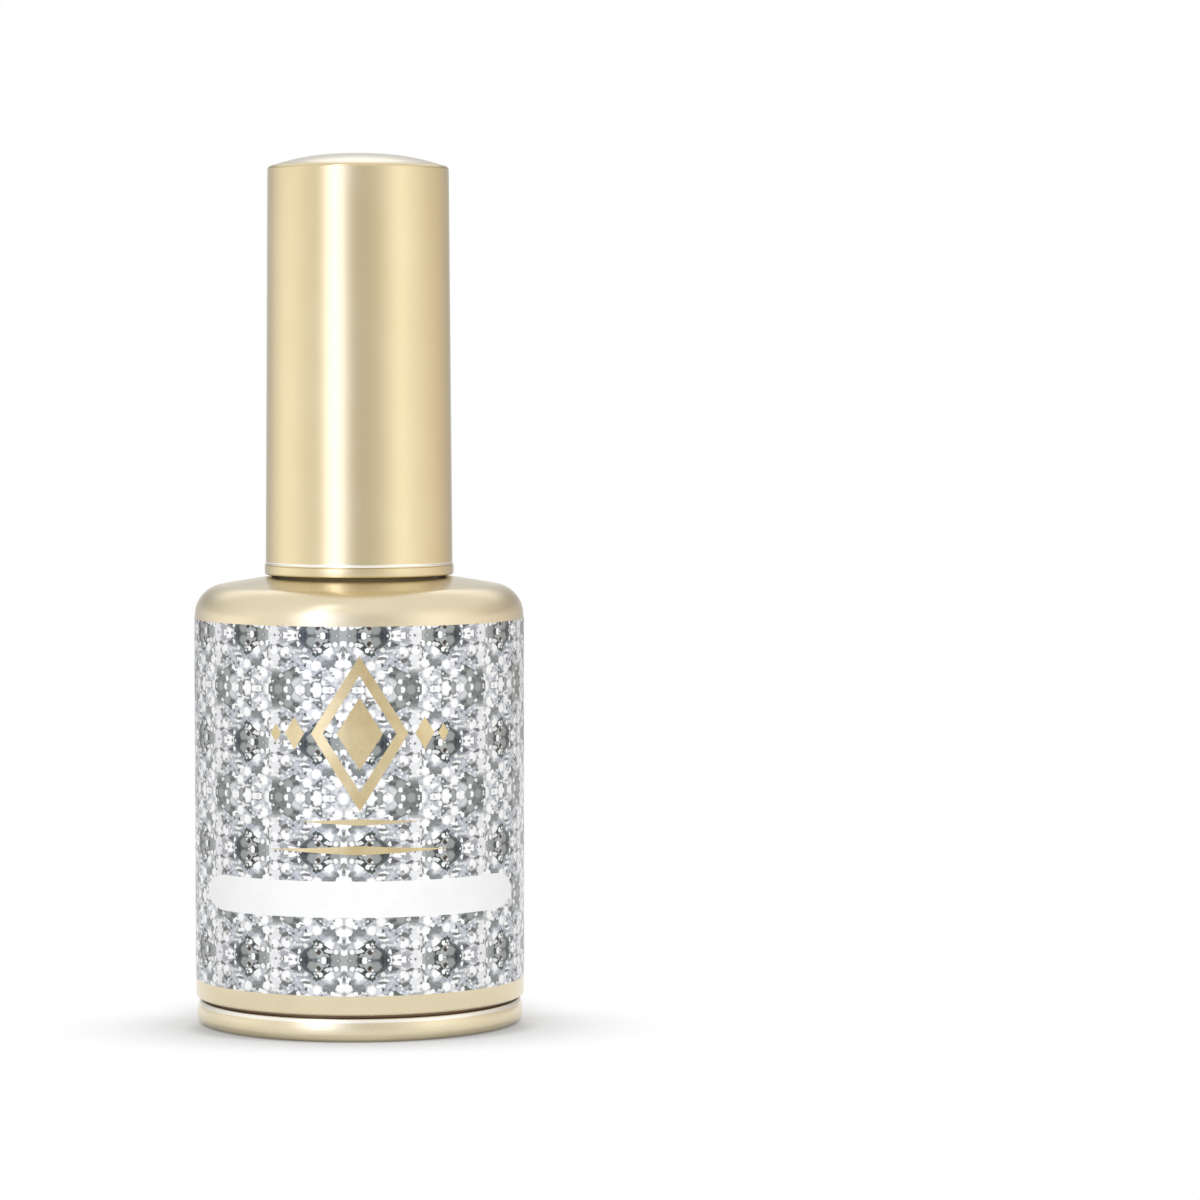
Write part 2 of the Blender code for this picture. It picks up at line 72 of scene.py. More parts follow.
# Glass body, foot and neck
BODY_TOP = 38.5 * MM
WALL = 2.2 * MM
FLOOR_HEIGHT = 5.0 * MM
FLOOR_CORNER = 2.0 * MM
SHOULDER_CORNER = 2.9 * MM
INNER_CORNER = SHOULDER_CORNER - WALL
SHOULDER_SLOPE_DEG = 9.5
FOOT_INSET = 0.1 * MM
FOOT_HEIGHT = 2.2 * MM
FOOT_EDGE_ROUND = 0.7 * MM
FOOT_TOP_ROUND = 1.4 * MM
FOOT_TOP_INSET = 0.4 * MM
GROOVE_DEPTH = 0.8 * MM
GROOVE_HEIGHT = 0.3 * MM
GROOVE_LIP = 0.2 * MM
STANDING_RING = 3.0 * MM
PUNT_DEPTH = 0.8 * MM
NECK_RADIUS = 6.6 * MM
COLLAR_RADIUS = 7.3 * MM
COLLAR_HEIGHT = 1.6 * MM
COLLAR_ROUND = 0.35 * MM
NECK_FILLET = 0.7 * MM
BORE_RADIUS = 4.3 * MM
RIM_ROUND = 0.6 * MM
THREAD_PITCH = 2.117 * MM
THREAD_DROP = 2.0 * MM
THREAD_RUN_OUT = 0.09
THREAD_END = 0.25
NECK_THREAD_TURNS = 1.25
NECK_THREAD_BOTTOM = RIM - THREAD_DROP - NECK_THREAD_TURNS * THREAD_PITCH
NECK_BEAD = 0.65 * MM
CAP_THREAD_TURNS = 1.0
CAP_THREAD_LAG = 0.25
CAP_BEAD = 0.6 * MM
BEAD_PROUD = 0.05 * MM

# Cap shell and inner cap
CAP_DRAFT = 0.38 * MM
CAP_DOME = 1.2 * MM
CAP_DOME_FLATNESS = 2.4
CAP_EDGE_ROUND = 0.38 * MM
CAP_EDGE_SWEEP_DEG = 68
CAP_LOWER_ROUND = 0.18 * MM
SHELL_WALL = 0.6 * MM
BEAD_HEIGHT = 0.95 * MM
FLARE = 0.1 * MM
FLARE_HEIGHT = 0.3 * MM
BAND_GROOVE = 0.05 * MM
CAP_BORE_RADIUS = 7.6 * MM
SHELL_FIT = 0.12 * MM
UPPER_WALL = 0.8 * MM
CEILING = 1.2 * MM
SOCKET_RADIUS = 2.5 * MM
POST_RADIUS = 3.4 * MM
POST_WALL = 0.9 * MM
MOULD_ROUND = 0.2 * MM
STACK_GAP = 0.1 * MM
LINER_BORE_RADIUS = 2.4 * MM
LINER_EDGE = 0.08 * MM

# Brush
FLANGE_THICKNESS = 1.0 * MM
PLUG_RADIUS = 2.4 * MM
PLUG_HEIGHT = 9.0 * MM
PLUG_CHAMFER = 0.5 * MM
STEM_TOP_RADIUS = 2.1 * MM
STEM_TOP_DEPTH = 0.35 * MM
STEM_TIP_RADIUS = 1.85 * MM
STEM_TIP_ROUND = 0.3 * MM
TUFT_HOLE_RADIUS = 1.4 * MM
TUFT_HOLE_DEPTH = 3.6 * MM
TUFT_RADIUS = 1.3 * MM
TUFT_SPLAY = 1.2
TUFT_BELLY = 0.72 * math.pi
TUFT_TIP_DOME = 1.6 * MM
TUFT_SEAT = 0.8 * MM
TUFT_WET = 6.0 * MM
STRAND_COUNT = 420
STRAND_SIDES = 5
STRAND_RINGS = 6
STRAND_RADIUS = 0.045 * MM
STRAND_TIP = 0.55
STRAND_UNEVEN = 0.35 * MM
GOLDEN_ANGLE = math.pi * (3 - math.sqrt(5))
GOLDEN_SHARE = 0.618034

# Polish
WELL_RADIUS = 2.5 * MM
WELL_FLOOR = 5.8 * MM
MENISCUS = 0.6 * MM

# Label and its print
LABEL_FILM = 0.05 * MM
LABEL_OVERLAP = 3.0 * MM
LABEL_LENGTH = math.tau * BODY_RADIUS + LABEL_OVERLAP
LABEL_HEIGHT = LABEL_BOX[1].z - LABEL_BOX[0].z
GLUE_GAP = 0.004 * MM
PRINT_FILM = 0.012 * MM
PANEL_HEIGHT = 3.35 * MM
PANEL_LENGTH = 35.0 * MM
PANEL_END = 3.2 * MM
PANEL_MIDDLE = 13.2 * MM
MOTIF_MIDDLE = 28.4 * MM
MOTIF_SIZE = (9.0 * MM, 14.2 * MM)
MOTIF_FRAME = 0.95 * MM
MOTIF_HEART = 0.47
STRIP_WIDTH = 0.6 * MM
SIDE_LOZENGES = ((1.9 * MM, 3.0 * MM, 6.1 * MM), (1.1 * MM, 1.7 * MM, 8.0 * MM))
RULES = ((11.5 * MM, 0.6 * MM, 20.3 * MM), (17.5 * MM, 0.85 * MM, 17.7 * MM))

# Facets
ROUND_STEPS = 192
INNER_STEPS = 96
STEM_STEPS = 64
PANEL_STEPS = 64
WIDE_ARC_STEPS = 14
SMALL_ARC_STEPS = 7
THREAD_STEPS = 72
FLOOR_STEPS = 96
LABEL_GRID = (240, 6)
SMOOTH_DEG = 30
STRAND_SMOOTH_DEG = 80

# Tones of the finishes, from dark to light, and the part of a noise's values that spreads over them
NOISE_SPAN = (0.3, 0.7)
CHAMPAGNE = ((0.690, 0.575, 0.352), (0.715, 0.602, 0.378))
# Pale gold of the painted highlights on the cap's crown and its rim line
CAP_HIGHLIGHT_GOLD = (0.97, 0.94, 0.87)
LACQUER = ((0.735, 0.638, 0.440), (0.765, 0.668, 0.465))
# Pale gold of the painted highlight along the foot's top edge
FOOT_HIGHLIGHT_GOLD = (0.97, 0.95, 0.90)
# Dark brown painted into the groove as shade
GROOVE_SHADE_BROWN = (0.16, 0.10, 0.06)
BARE_GLASS = (0.62, 0.68, 0.65)
PANEL_INK = (0.90, 0.94)
FOIL = ((0.60, 0.47, 0.25), (0.74, 0.62, 0.38))
NYLON = ((0.012, 0.011, 0.010), (0.03, 0.027, 0.024))
WIRE = (0.5, 0.66)
FILL_TONES = [(0.0, 0.12), (0.4, 0.34), (0.75, 0.58), (1.0, 0.9)]
WET_TONES = [(0.0, 0.16), (0.5, 0.42), (1.0, 0.85)]

# Moulded plastics: dark and light tone, roughness, and the share of light that goes under the surface
PLASTICS = {
    "natural_polypropylene": ((0.74, 0.735, 0.71), (0.80, 0.795, 0.77), (0.38, 0.5), 0.15),
    "black_polyethylene": ((0.012, 0.012, 0.013), (0.02, 0.02, 0.021), (0.32, 0.42), 0.0),
    "liner_film": ((0.84, 0.84, 0.82), (0.90, 0.90, 0.88), (0.22, 0.3), 0.0),
    "liner_foam": ((0.86, 0.86, 0.84), (0.93, 0.93, 0.91), (0.6, 0.75), 0.1),
}

# Glitter: the tile that repeats, in millimetres, with its pale column and shaded row
TILE = (7.28, 4.96)
TILE_START = (1.48, 1.66)
PALE_COLUMN = (6.9, 1.0)
COLUMN_RISE = (1.2, 2.4)
DARK_ROW = (3.3, 4.7)
DRIFT = (0.9, 0.9, 0.0)
HAZE_TONE = (0.88, 0.89, 0.92)
ROW_TONE = (0.10, 0.10, 0.12)
COLUMN_TONE = (0.92, 0.92, 0.94)
FLAKE_RIM = (0.45, 0.45, 0.43)
FLAKE_EDGE = 0.02
MOTTLE_TONES = [(0.32, 0.42), (0.66, 1.0)]
GEL_TONES = [
    (0.0, (0.19, 0.21, 0.20)),
    (0.3, (0.32, 0.34, 0.33)),
    (0.55, (0.42, 0.44, 0.45)),
    (0.75, (0.62, 0.65, 0.70)),
    (1.0, (0.84, 0.86, 0.90)),
]
COARSE_TONES = [
    (0.0, (0.055, 0.055, 0.075)),
    (0.09, (0.10, 0.10, 0.11)),
    (0.14, (0.37, 0.385, 0.375)),
    (0.54, (0.47, 0.485, 0.48)),
    (0.58, (0.92, 0.92, 0.93)),
    (1.0, (0.98, 0.98, 0.98)),
]
SLIVER_TONES = [(0.0, 0.10), (0.2, 0.30), (0.45, 0.80), (1.0, 0.97)]
DOT_TONES = [(0.0, (0.06, 0.06, 0.07)), (0.14, (0.20, 0.18, 0.16)), (0.20, (0.95, 0.95, 0.95))]
DUST_TONES = [(0.0, 0.10), (0.26, 0.28), (0.30, 0.95)]

# Sieves of flakes: cells per millimetre, a shift, a flake's radius in cells, and the share of cells kept
GEL_CELLS = {"scale": 0.76, "shift": (3.1, 1.7, 0.0)}
SLIVERS = {"scale": 1.5, "radius": 0.30, "share": 0.20, "size": (0.38, 1.25), "tones": SLIVER_TONES}
SLIVER_TURNS = ((28.0, (4.4, 2.1, 0.0)), (-31.0, (9.2, 2.1, 0.0)), (84.0, (1.3, 2.1, 0.0)))
COARSE = {"scale": 0.92, "shift": (2.7, 1.1, 0.0), "radius": 0.46, "share": 0.42, "tones": COARSE_TONES}
DOTS = {"scale": 1.7, "shift": (7.7, 2.9, 0.0), "radius": 0.38, "share": 0.22, "tones": DOT_TONES}
DUST = {"scale": 3.3, "shift": (2.2, 8.1, 0.0), "radius": 0.40, "share": 0.20, "tones": DUST_TONES}
DUST_STRENGTH = 0.75

# Studio: the walls' glow by azimuth in degrees from the camera's side, for reflections alone
BLACK = (0.0, 0.0, 0.0)
NEUTRAL = (1.0, 1.0, 1.0)
COOL = (0.94, 1.0, 1.25)
WARM = (1.05, 0.98, 0.92)
ROOM_GLOW = [
    (-180, 1.05, NEUTRAL),
    (-158, 0.46, NEUTRAL),
    (-132, 0.86, NEUTRAL),
    (-102, 1.46, NEUTRAL),
    (-78, 1.14, NEUTRAL),
    (-60, 1.02, NEUTRAL),
    (-46, 1.00, NEUTRAL),
    (-31, 2.85, COOL),
    (-18, 1.42, COOL),
    (-6, 0.72, NEUTRAL),
    (14, 0.76, NEUTRAL),
    (32, 0.96, NEUTRAL),
    (52, 1.52, NEUTRAL),
    (72, 1.20, NEUTRAL),
    (104, 1.02, WARM),
    (142, 0.58, WARM),
    (162, 0.50, NEUTRAL),
    (180, 1.05, NEUTRAL),
]
GLOW_SCALE = 3.6
AMBIENT = 0.55
BOUNCE_DIMMING = 0.95

# Where the room changes, as parts of a direction of length 1: Z is up, and Y is away from the camera
CEILING_GLOW = 1.0
CEILING_Z = (0.25, 0.72)
REAR_DIMMING = 0.26
REAR_Y = (-0.3, 0.2)
REAR_Z = (0.05, 0.2)
BACKDROP_GLOW = 0.45
BACKDROP_Y = (0.5, 0.8)
BACKDROP_Z = (0.36, 0.5)
STRIP_GLOW = 1.6
STRIP_AZIMUTH_DEG = -32
STRIP_EDGES_DEG = (3, 9)
STRIP_FOOT_Z = (0.2, 0.45)
STRIP_HEAD_Z = (0.86, 0.95)

# Softboxes: name, azimuth, distance, height, size, radiance, and whether it throws a shadow
SOFTBOXES = (
    ("key", -24, 0.9, 0.3, (0.6, 0.5), 2.0, False),
    ("fill", 26, 0.9, 0.3, (0.6, 0.5), 1.9, False),
    ("rear", 180, 0.9, 0.3, (0.8, 0.5), 1.6, False),
    ("overhead", 0, 0.05, 1.1, (1.2, 1.2), 1.25, True),
)
SOFTBOX_AIM = Vector((0, 0, 0.04))

# Floor
FLOOR_RADIUS = 0.3
FLOOR_DROP = 0.02 * MM
FLOOR_GLOW = 0.03
SHADOW_REACH = (0.0095, 0.0185)
# Reach and tones of the contact shadow painted into the floor's colour
CONTACT_SHADOW_REACH = (0.0086, 0.0104)
CONTACT_SHADOW_TONES = (0.6, 0.84)
SHADOW_SPREAD = 1.65
SHADOW_LEAD = 0.0055
SHADOW_ROUND = 0.8

# Camera, fitted to the photograph's ellipses. The frame is 1200 pixels square.
FRAME_PIXELS = 1200
FOCAL_PIXELS = 4581
AXIS_PIXEL = 359
HORIZON_PIXEL = 361
CAMERA_DISTANCE = 0.433
CAMERA_HEIGHT = 0.0624
CAMERA_NEAREST = 0.01
SENSOR_MM = 36.0


def arc(centre, radii, start_deg, end_deg, steps):
    """Points on an ellipse's arc in the plane of radius and height."""
    points = []
    for step in range(steps + 1):
        angle = math.radians(start_deg + (end_deg - start_deg) * step / steps)
        points.append((centre[0] + radii[0] * math.cos(angle), centre[1] + radii[1] * math.sin(angle)))
    return points


def round_arc(centre, radius, start_deg, end_deg, steps=SMALL_ARC_STEPS):
    return arc(centre, (radius, radius), start_deg, end_deg, steps)


def rounded(radius, height, rounding, start_deg, end_deg):
    """A quarter arc that rounds off the corner at a radius and height."""
    middle = math.radians((start_deg + end_deg) / 2)
    inward = math.copysign(rounding, math.cos(middle))
    down = math.copysign(rounding, math.sin(middle))
    return round_arc((radius - inward, height - down), rounding, start_deg, end_deg)


def dome(edge_radius, edge_height, rise, steps=WIDE_ARC_STEPS):
    """A shallow dome's points, from the axis out to its edge."""
    points = []
    for step in range(steps + 1):
        share = step / steps
        points.append((edge_radius * share, edge_height + rise * (1 - share**CAP_DOME_FLATNESS)))
    return points


def slope_height(corner, outside, radius):
    """Height of a shoulder's slope at a radius, above a rounded corner that ends at the outside."""
    angle = math.radians(SHOULDER_SLOPE_DEG)
    edge_radius = outside - corner + corner * math.sin(angle)
    edge_height = BODY_TOP + corner * math.cos(angle)
    return edge_height + (edge_radius - radius) * math.tan(angle)


def cap_radius(height):
    """Outer radius of the cap's side, which narrows towards the top."""
    side_height = CAP_TOP - CAP_DOME - CAP_BOTTOM
    return CAP_RADIUS - CAP_DRAFT * (height - CAP_BOTTOM) / side_height


def deselect():
    """Leaves nothing selected, so that the next operator acts on its own piece alone."""
    if bpy.context.object and bpy.context.object.mode != "OBJECT":
        bpy.ops.object.mode_set(mode="OBJECT")
    bpy.ops.object.select_all(action="DESELECT")


def pick(*pieces):
    """Selects these pieces alone, and makes the first one active."""
    deselect()
    for piece in pieces:
        piece.select_set(True)
    bpy.context.view_layer.objects.active = pieces[0]


def flat_disc(sides, radius):
    """A new flat disc with this many sides, as a start for a piece."""
    deselect()
    bpy.ops.mesh.primitive_circle_add(vertices=sides, radius=radius, fill_type="NGON")
    return bpy.context.object


def finish_mesh(piece, name, smooth_deg=SMOOTH_DEG):
    """Names a modelled piece and smooths its round faces."""
    piece.name = piece.data.name = name
    pick(piece)
    bpy.ops.object.transform_apply(location=True, rotation=True, scale=True)
    bpy.ops.object.shade_smooth_by_angle(angle=math.radians(smooth_deg))
    piece.select_set(False)
    return piece


def apply_modifier(piece, kind, **settings):
    """Adds a modifier to a piece with these settings, and applies it."""
    pick(piece)
    modifier = piece.modifiers.new(kind.title(), kind)
    for name, value in settings.items():
        setattr(modifier, name, value)
    bpy.ops.object.modifier_apply(modifier=modifier.name)


def turned_piece(name, outline, steps=ROUND_STEPS, closed=False):
    """Draws an outline from one vertex, point by point, and spins it round the axis."""
    deselect()
    bpy.ops.mesh.primitive_plane_add(size=1)
    piece = bpy.context.object
    bpy.ops.object.mode_set(mode="EDIT")
    bpy.ops.mesh.merge(type="CENTER")
    bpy.ops.transform.translate(value=(outline[0][0], 0, outline[0][1]))
    for before, after in zip(outline, outline[1:]):
        step = (after[0] - before[0], 0, after[1] - before[1])
        bpy.ops.mesh.extrude_vertices_move(TRANSFORM_OT_translate={"value": step})
    bpy.ops.mesh.select_all(action="SELECT")
    if closed:
        close_loop(piece)
    bpy.ops.mesh.spin(steps=steps, angle=math.tau, center=(0, 0, 0), axis=AXIS_TOP)
    bpy.ops.mesh.select_all(action="SELECT")
    bpy.ops.mesh.remove_doubles(threshold=MM / 1000)
    face_outwards()
    return finish_mesh(piece, name)


def face_outwards():
    """Turns all of a mesh's faces outwards, and leaves edit mode."""
    bpy.ops.mesh.select_all(action="SELECT")
    bpy.ops.mesh.normals_make_consistent(inside=False)
    bpy.ops.object.mode_set(mode="OBJECT")


def close_loop(piece):
    """Joins an outline's two loose ends with an edge."""
    bpy.ops.object.mode_set(mode="OBJECT")
    last = len(piece.data.vertices) - 1
    for vertex in piece.data.vertices:
        vertex.select = vertex.index in (0, last)
    for edge in piece.data.edges:
        edge.select = False
    bpy.ops.object.mode_set(mode="EDIT")
    bpy.ops.mesh.edge_face_add()
    bpy.ops.mesh.select_all(action="SELECT")


def thread_bead(radius, bead, bottom, first_turn, turns):
    """A round helical bead that thins out at both ends, as a mesh."""
    steps = round(turns * THREAD_STEPS)
    line = bpy.data.curves.new("thread_bead", "CURVE")
    line.dimensions = "3D"
    line.bevel_depth = bead
    line.bevel_resolution = 5
    line.use_fill_caps = True
    spline = line.splines.new("POLY")
    spline.points.add(steps)
    for step, point in enumerate(spline.points):
        along = turns * step / steps
        angle = (first_turn + along) * math.tau
        height = bottom + (first_turn + along) * THREAD_PITCH
        point.co = (radius * math.cos(angle), radius * math.sin(angle), height, 1)
        end_share = min(1, along / THREAD_RUN_OUT, (turns - along) / THREAD_RUN_OUT)
        point.radius = THREAD_END + (1 - THREAD_END) * math.sin(end_share * math.pi / 2)
    bead_piece = bpy.data.objects.new("thread_bead", line)
    bpy.context.scene.collection.objects.link(bead_piece)
    pick(bead_piece)
    bpy.ops.object.convert(target="MESH")
    return bpy.context.object


def fuse(piece, bead):
    """Fuses a thread's bead into the piece that it is moulded on."""
    apply_modifier(piece, "BOOLEAN", operation="UNION", solver="EXACT", object=bead)
    bpy.data.objects.remove(bead)
    finish_mesh(piece, piece.name)


class Mix:
    """A finish being mixed: a node tree, with a short call for each kind of node that goes into it."""

    def __init__(self, tree, shader):
        self.tree = tree
        self.shader = tree.nodes[shader]

    def plug(self, socket, value):
        """Links a socket to another node's output, or sets it to a value."""
        if isinstance(value, bpy.types.NodeSocket):
            self.tree.links.new(value, socket)
        else:
            socket.default_value = value

    def node(self, kind, inputs=None, **settings):
        """Adds a shader node, and returns its outputs."""
        node = self.tree.nodes.new("ShaderNode" + kind)
        for name, value in settings.items():
            setattr(node, name, value)
        for name, value in (inputs or {}).items():
            self.plug(node.inputs[name], value)
        return node.outputs

    def feed(self, **sockets):
        """Plugs values into the shader's sockets, whose names have underscores here for spaces."""
        for name, value in sockets.items():
            self.plug(self.shader.inputs[name.replace("_", " ").title()], value)

    def points(self):
        """Places on the piece, in millimetres."""
        place = self.node("TexCoord")["Object"]
        return self.node("Mapping", {"Vector": place, "Scale": (1 / MM,) * 3})["Vector"]

    def split(self, vector):
        return self.node("SeparateXYZ", {"Vector": vector})

    def maths(self, operation, first, second=0.0, third=0.0):
        return self.node("Math", {0: first, 1: second, 2: third}, operation=operation)["Value"]

    def times(self, first, second):
        return self.maths("MULTIPLY", first, second)

    def off(self, value, middle):
        """How far a value lies from a middle one, to either side."""
        return self.maths("ABSOLUTE", self.maths("SUBTRACT", value, middle))

    def ramp(self, factor, stops, interpolation="LINEAR"):
        """A colour ramp. Each stop is a place and a colour, or a place and a grey."""
        node = self.tree.nodes.new("ShaderNodeValToRGB")
        self.plug(node.inputs["Fac"], factor)
        node.color_ramp.interpolation = interpolation
        elements = node.color_ramp.elements
        while len(elements) < len(stops):
            elements.new(1.0)
        for element, (place, colour) in zip(elements, stops):
            element.position = place
            element.color = (*colour, 1) if hasattr(colour, "__len__") else (colour,) * 3 + (1,)
        return node.outputs["Color"]

    def blend(self, factor, *colours, mode="MIX"):
        """Blends two colours."""
        inputs = {0: factor}
        for socket, colour in zip((6, 7), colours):
            inputs[socket] = (*colour, 1) if isinstance(colour, tuple) else colour
        return self.node("Mix", inputs, data_type="RGBA", blend_type=mode, clamp_factor=True)[2]

    def between(self, factor, first, second):
        return self.node("Mix", {0: factor, 2: first, 3: second}, data_type="FLOAT")[0]

    def noise(self, vector, scale, detail=3.0, roughness=0.55):
        inputs = {"Vector": vector, "Scale": scale, "Detail": detail, "Roughness": roughness}
        return self.node("TexNoise", inputs)["Fac"]

    def ranged(self, value, old, new, kind="LINEAR"):
        """Carries a value from an old range, low to high, over to a new one."""
        inputs = dict(enumerate((value, *old, *new)))
        return self.node("MapRange", inputs, interpolation_type=kind)["Result"]

    def fade(self, value, old, new=(0.0, 1.0)):
        """Carries a value over to a new range with soft ends."""
        return self.ranged(value, old, new, "SMOOTHSTEP")

    def tones(self, noise, dark, light):
        """A colour that a noise moves between two tones."""
        return self.ramp(noise, [(NOISE_SPAN[0], dark), (NOISE_SPAN[1], light)])

    def spread(self, noise, low, high):
        """A number that a noise moves between two others."""
        return self.ranged(noise, NOISE_SPAN, (low, high))

    def bump(self, height, strength, distance):
        inputs = {"Height": height, "Strength": strength, "Distance": distance}
        self.feed(normal=self.node("Bump", inputs)["Normal"])


def new_material(name, inputs):
    """A material with a Principled shader whose sockets take these values, and its mix."""
    material = bpy.data.materials.new(name)
    material.use_nodes = True
    mix = Mix(material.node_tree, "Principled BSDF")
    for socket, value in inputs.items():
        mix.shader.inputs[socket].default_value = value
    return material, mix


def champagne_anodised():
    """Satin champagne gold of the cap: faint haze, and painted highlights as a paler crown and a bright
    line at the rim.
    """
    material, mix = new_material("champagne_anodised", {"Metallic": 1.0})
    points = mix.points()
    height = mix.split(points)["Z"]
    haze = mix.noise(points, scale=0.16, detail=2.0)
    grain = mix.noise(points, scale=14.0, detail=1.0)
    # The bright line at the flare is a painted highlight.
    rim_highlight_middle = (CAP_BOTTOM + BEAD_HEIGHT + FLARE_HEIGHT / 2) / MM
    off_rim_highlight = mix.off(height, rim_highlight_middle)
    line = mix.fade(off_rim_highlight, (0.09, 0.16), (0.85, 0.0))
    # The paler crown is a painted highlight, in place of the dome's reflection.
    edge = (CAP_TOP - CAP_DOME) / MM
    crown = mix.fade(height, (edge - 0.05, edge + 0.2), (0.0, 0.5))
    pale = mix.maths("MAXIMUM", line, crown)
    colour = mix.blend(pale, mix.tones(haze, *CHAMPAGNE), CAP_HIGHLIGHT_GOLD)
    rough = mix.maths("ADD", mix.spread(haze, 0.17, 0.21), mix.spread(grain, -0.012, 0.012))
    mix.feed(base_color=colour, roughness=rough)
    mix.bump(grain, strength=0.02, distance=0.02 * MM)
    return material


def axis_radius(mix, place):
    """Distance from the bottle's axis, in the units of the place."""
    squared = mix.times(place["X"], place["X"])
    squared = mix.maths("MULTIPLY_ADD", place["Y"], place["Y"], squared)
    return mix.maths("SQRT", squared)


def groove_shade_mask(mix, radius, height):
    """Where the groove above the foot is painted dark brown, as shade in the recess."""
    rim = (BODY_RADIUS - GROOVE_LIP) / MM
    deep = mix.fade(radius, (rim - 0.1, rim - 0.3))
    above_foot = mix.maths("GREATER_THAN", height, FOOT_HEIGHT / MM - 0.04)
    below_lip = mix.maths("LESS_THAN", height, (FOOT_HEIGHT + GROOVE_HEIGHT) / MM + 0.1)
    return mix.times(deep, mix.times(above_foot, below_lip))


def bare_mask(mix, points, radius, height):
    """Where the glass is bare: inside the neck, and above a ragged line of overspray at the rim."""
    overspray = mix.noise(points, scale=0.9)
    ragged = mix.maths("ADD", height, mix.ranged(overspray, (0.25, 0.75), (-0.9, 0.9)))
    line = (RIM - THREAD_DROP * 0.55) / MM
    above = mix.fade(ragged, (line - 0.5, line + 0.4))
    inside = mix.maths("LESS_THAN", radius, (BORE_RADIUS + RIM_ROUND / 3) / MM)
    raised = mix.maths("GREATER_THAN", height, FLOOR_HEIGHT / MM - 0.1)
    return mix.maths("MAXIMUM", above, mix.times(inside, raised))


def gold_lacquer():
    """Gold lacquer on glass: dark brown painted shade in the groove, a bright painted highlight at the
    foot's edge, bare at rim and bore.
    """
    coat = {"Coat Weight": 0.2, "Coat Roughness": 0.14, "Coat IOR": 1.5}
    material, mix = new_material("gold_lacquer", coat)
    points = mix.points()
    place = mix.split(points)
    height = place["Z"]
    radius = axis_radius(mix, place)
    bare = bare_mask(mix, points, radius, height)
    cloud = mix.noise(points, scale=0.22, detail=2.0)
    grain = mix.noise(points, scale=16.0, detail=1.0)
    colour = mix.blend(bare, mix.tones(cloud, *LACQUER), BARE_GLASS)
    # A pale band just under the foot's top edge is a painted highlight.
    off_foot_highlight = mix.off(height, FOOT_HEIGHT / MM - 0.22)
    foot_highlight = mix.fade(off_foot_highlight, (0.1, 0.24), (0.8, 0.0))
    colour = mix.blend(foot_highlight, colour, FOOT_HIGHLIGHT_GOLD)
    # The groove is painted dark brown: painted shade.
    colour = mix.blend(groove_shade_mask(mix, radius, height), colour, GROOVE_SHADE_BROWN)
    metal = mix.ranged(bare, (0.0, 1.0), (0.95, 0.0))
    gloss = mix.ranged(bare, (0.0, 1.0), (1.0, 0.25))
    rough = mix.times(mix.spread(grain, 0.24, 0.28), gloss)
    mix.feed(base_color=colour, metallic=metal, roughness=rough)
    mix.bump(cloud, strength=0.05, distance=0.1 * MM)
    return material


def glitter_tile(mix):
    """The film's places in millimetres, repeated to both sides and mirrored up and down."""
    length = LABEL_LENGTH / MM
    placing = {
        "Vector": mix.node("UVMap", uv_map="wrap")["UV"],
        "Location": (TILE_START[0] - length / 2, TILE_START[1], 0.0),
        "Scale": (length, LABEL_HEIGHT / MM, 1.0),
    }
    place = mix.split(mix.node("Mapping", placing)["Vector"])
    across = mix.maths("MODULO", mix.maths("ABSOLUTE", place["X"]), TILE[0])
    up = mix.maths("PINGPONG", place["Y"], TILE[1])
    return across, up


def flake_cells(mix, vector, scale, shift, size=(1.0, 1.0), turn_deg=0.0):
    """Random cells: each place's offset from its cell's middle, and three numbers of the cell's own."""
    turn = (0, 0, math.radians(turn_deg))
    placing = {"Vector": vector, "Location": shift, "Rotation": turn, "Scale": (*size, 1)}
    moved = mix.node("Mapping", placing)["Vector"]
    cells = mix.node("TexVoronoi", {"Vector": moved, "Scale": scale}, voronoi_dimensions="2D")
    offset = mix.node("VectorMath", {0: moved, 1: cells["Position"]}, operation="SUBTRACT")
    numbers = mix.node("SeparateColor", {"Color": cells["Color"]})
    return offset["Vector"], numbers


def hexagon_distance(mix, offset, turn):
    """Distance from a flake's middle as a hexagon measures it, turned by a number's share."""
    slant = math.tau / 6
    angle = mix.times(turn, slant)
    turned = mix.node("VectorRotate", {"Vector": offset, "Angle": angle}, rotation_type="Z_AXIS")
    place = mix.split(turned["Vector"])
    wide = mix.maths("ABSOLUTE", place["X"])
    tall = mix.maths("ABSOLUTE", place["Y"])
    slanted = mix.times(tall, math.sin(slant))
    slanted = mix.maths("MULTIPLY_ADD", wide, math.cos(slant), slanted)
    return mix.maths("MAXIMUM", wide, slanted)


def sieve(mix, vector, colour, scale, shift, radius, share, tones, strength=1.0, **shape):
    """Strews hexagonal flakes on a colour, and returns it with the flakes' mask and distance."""
    offset, numbers = flake_cells(mix, vector, scale, shift, **shape)
    distance = mix.times(hexagon_distance(mix, offset, numbers["Blue"]), scale)
    flake = mix.ranged(distance, (radius - FLAKE_EDGE, radius + FLAKE_EDGE), (1.0, 0.0))
    mask = mix.times(flake, mix.maths("LESS_THAN", numbers["Green"], share))
    shown = mix.times(mask, strength)
    return mix.blend(shown, colour, mix.ramp(numbers["Red"], tones)), mask, distance


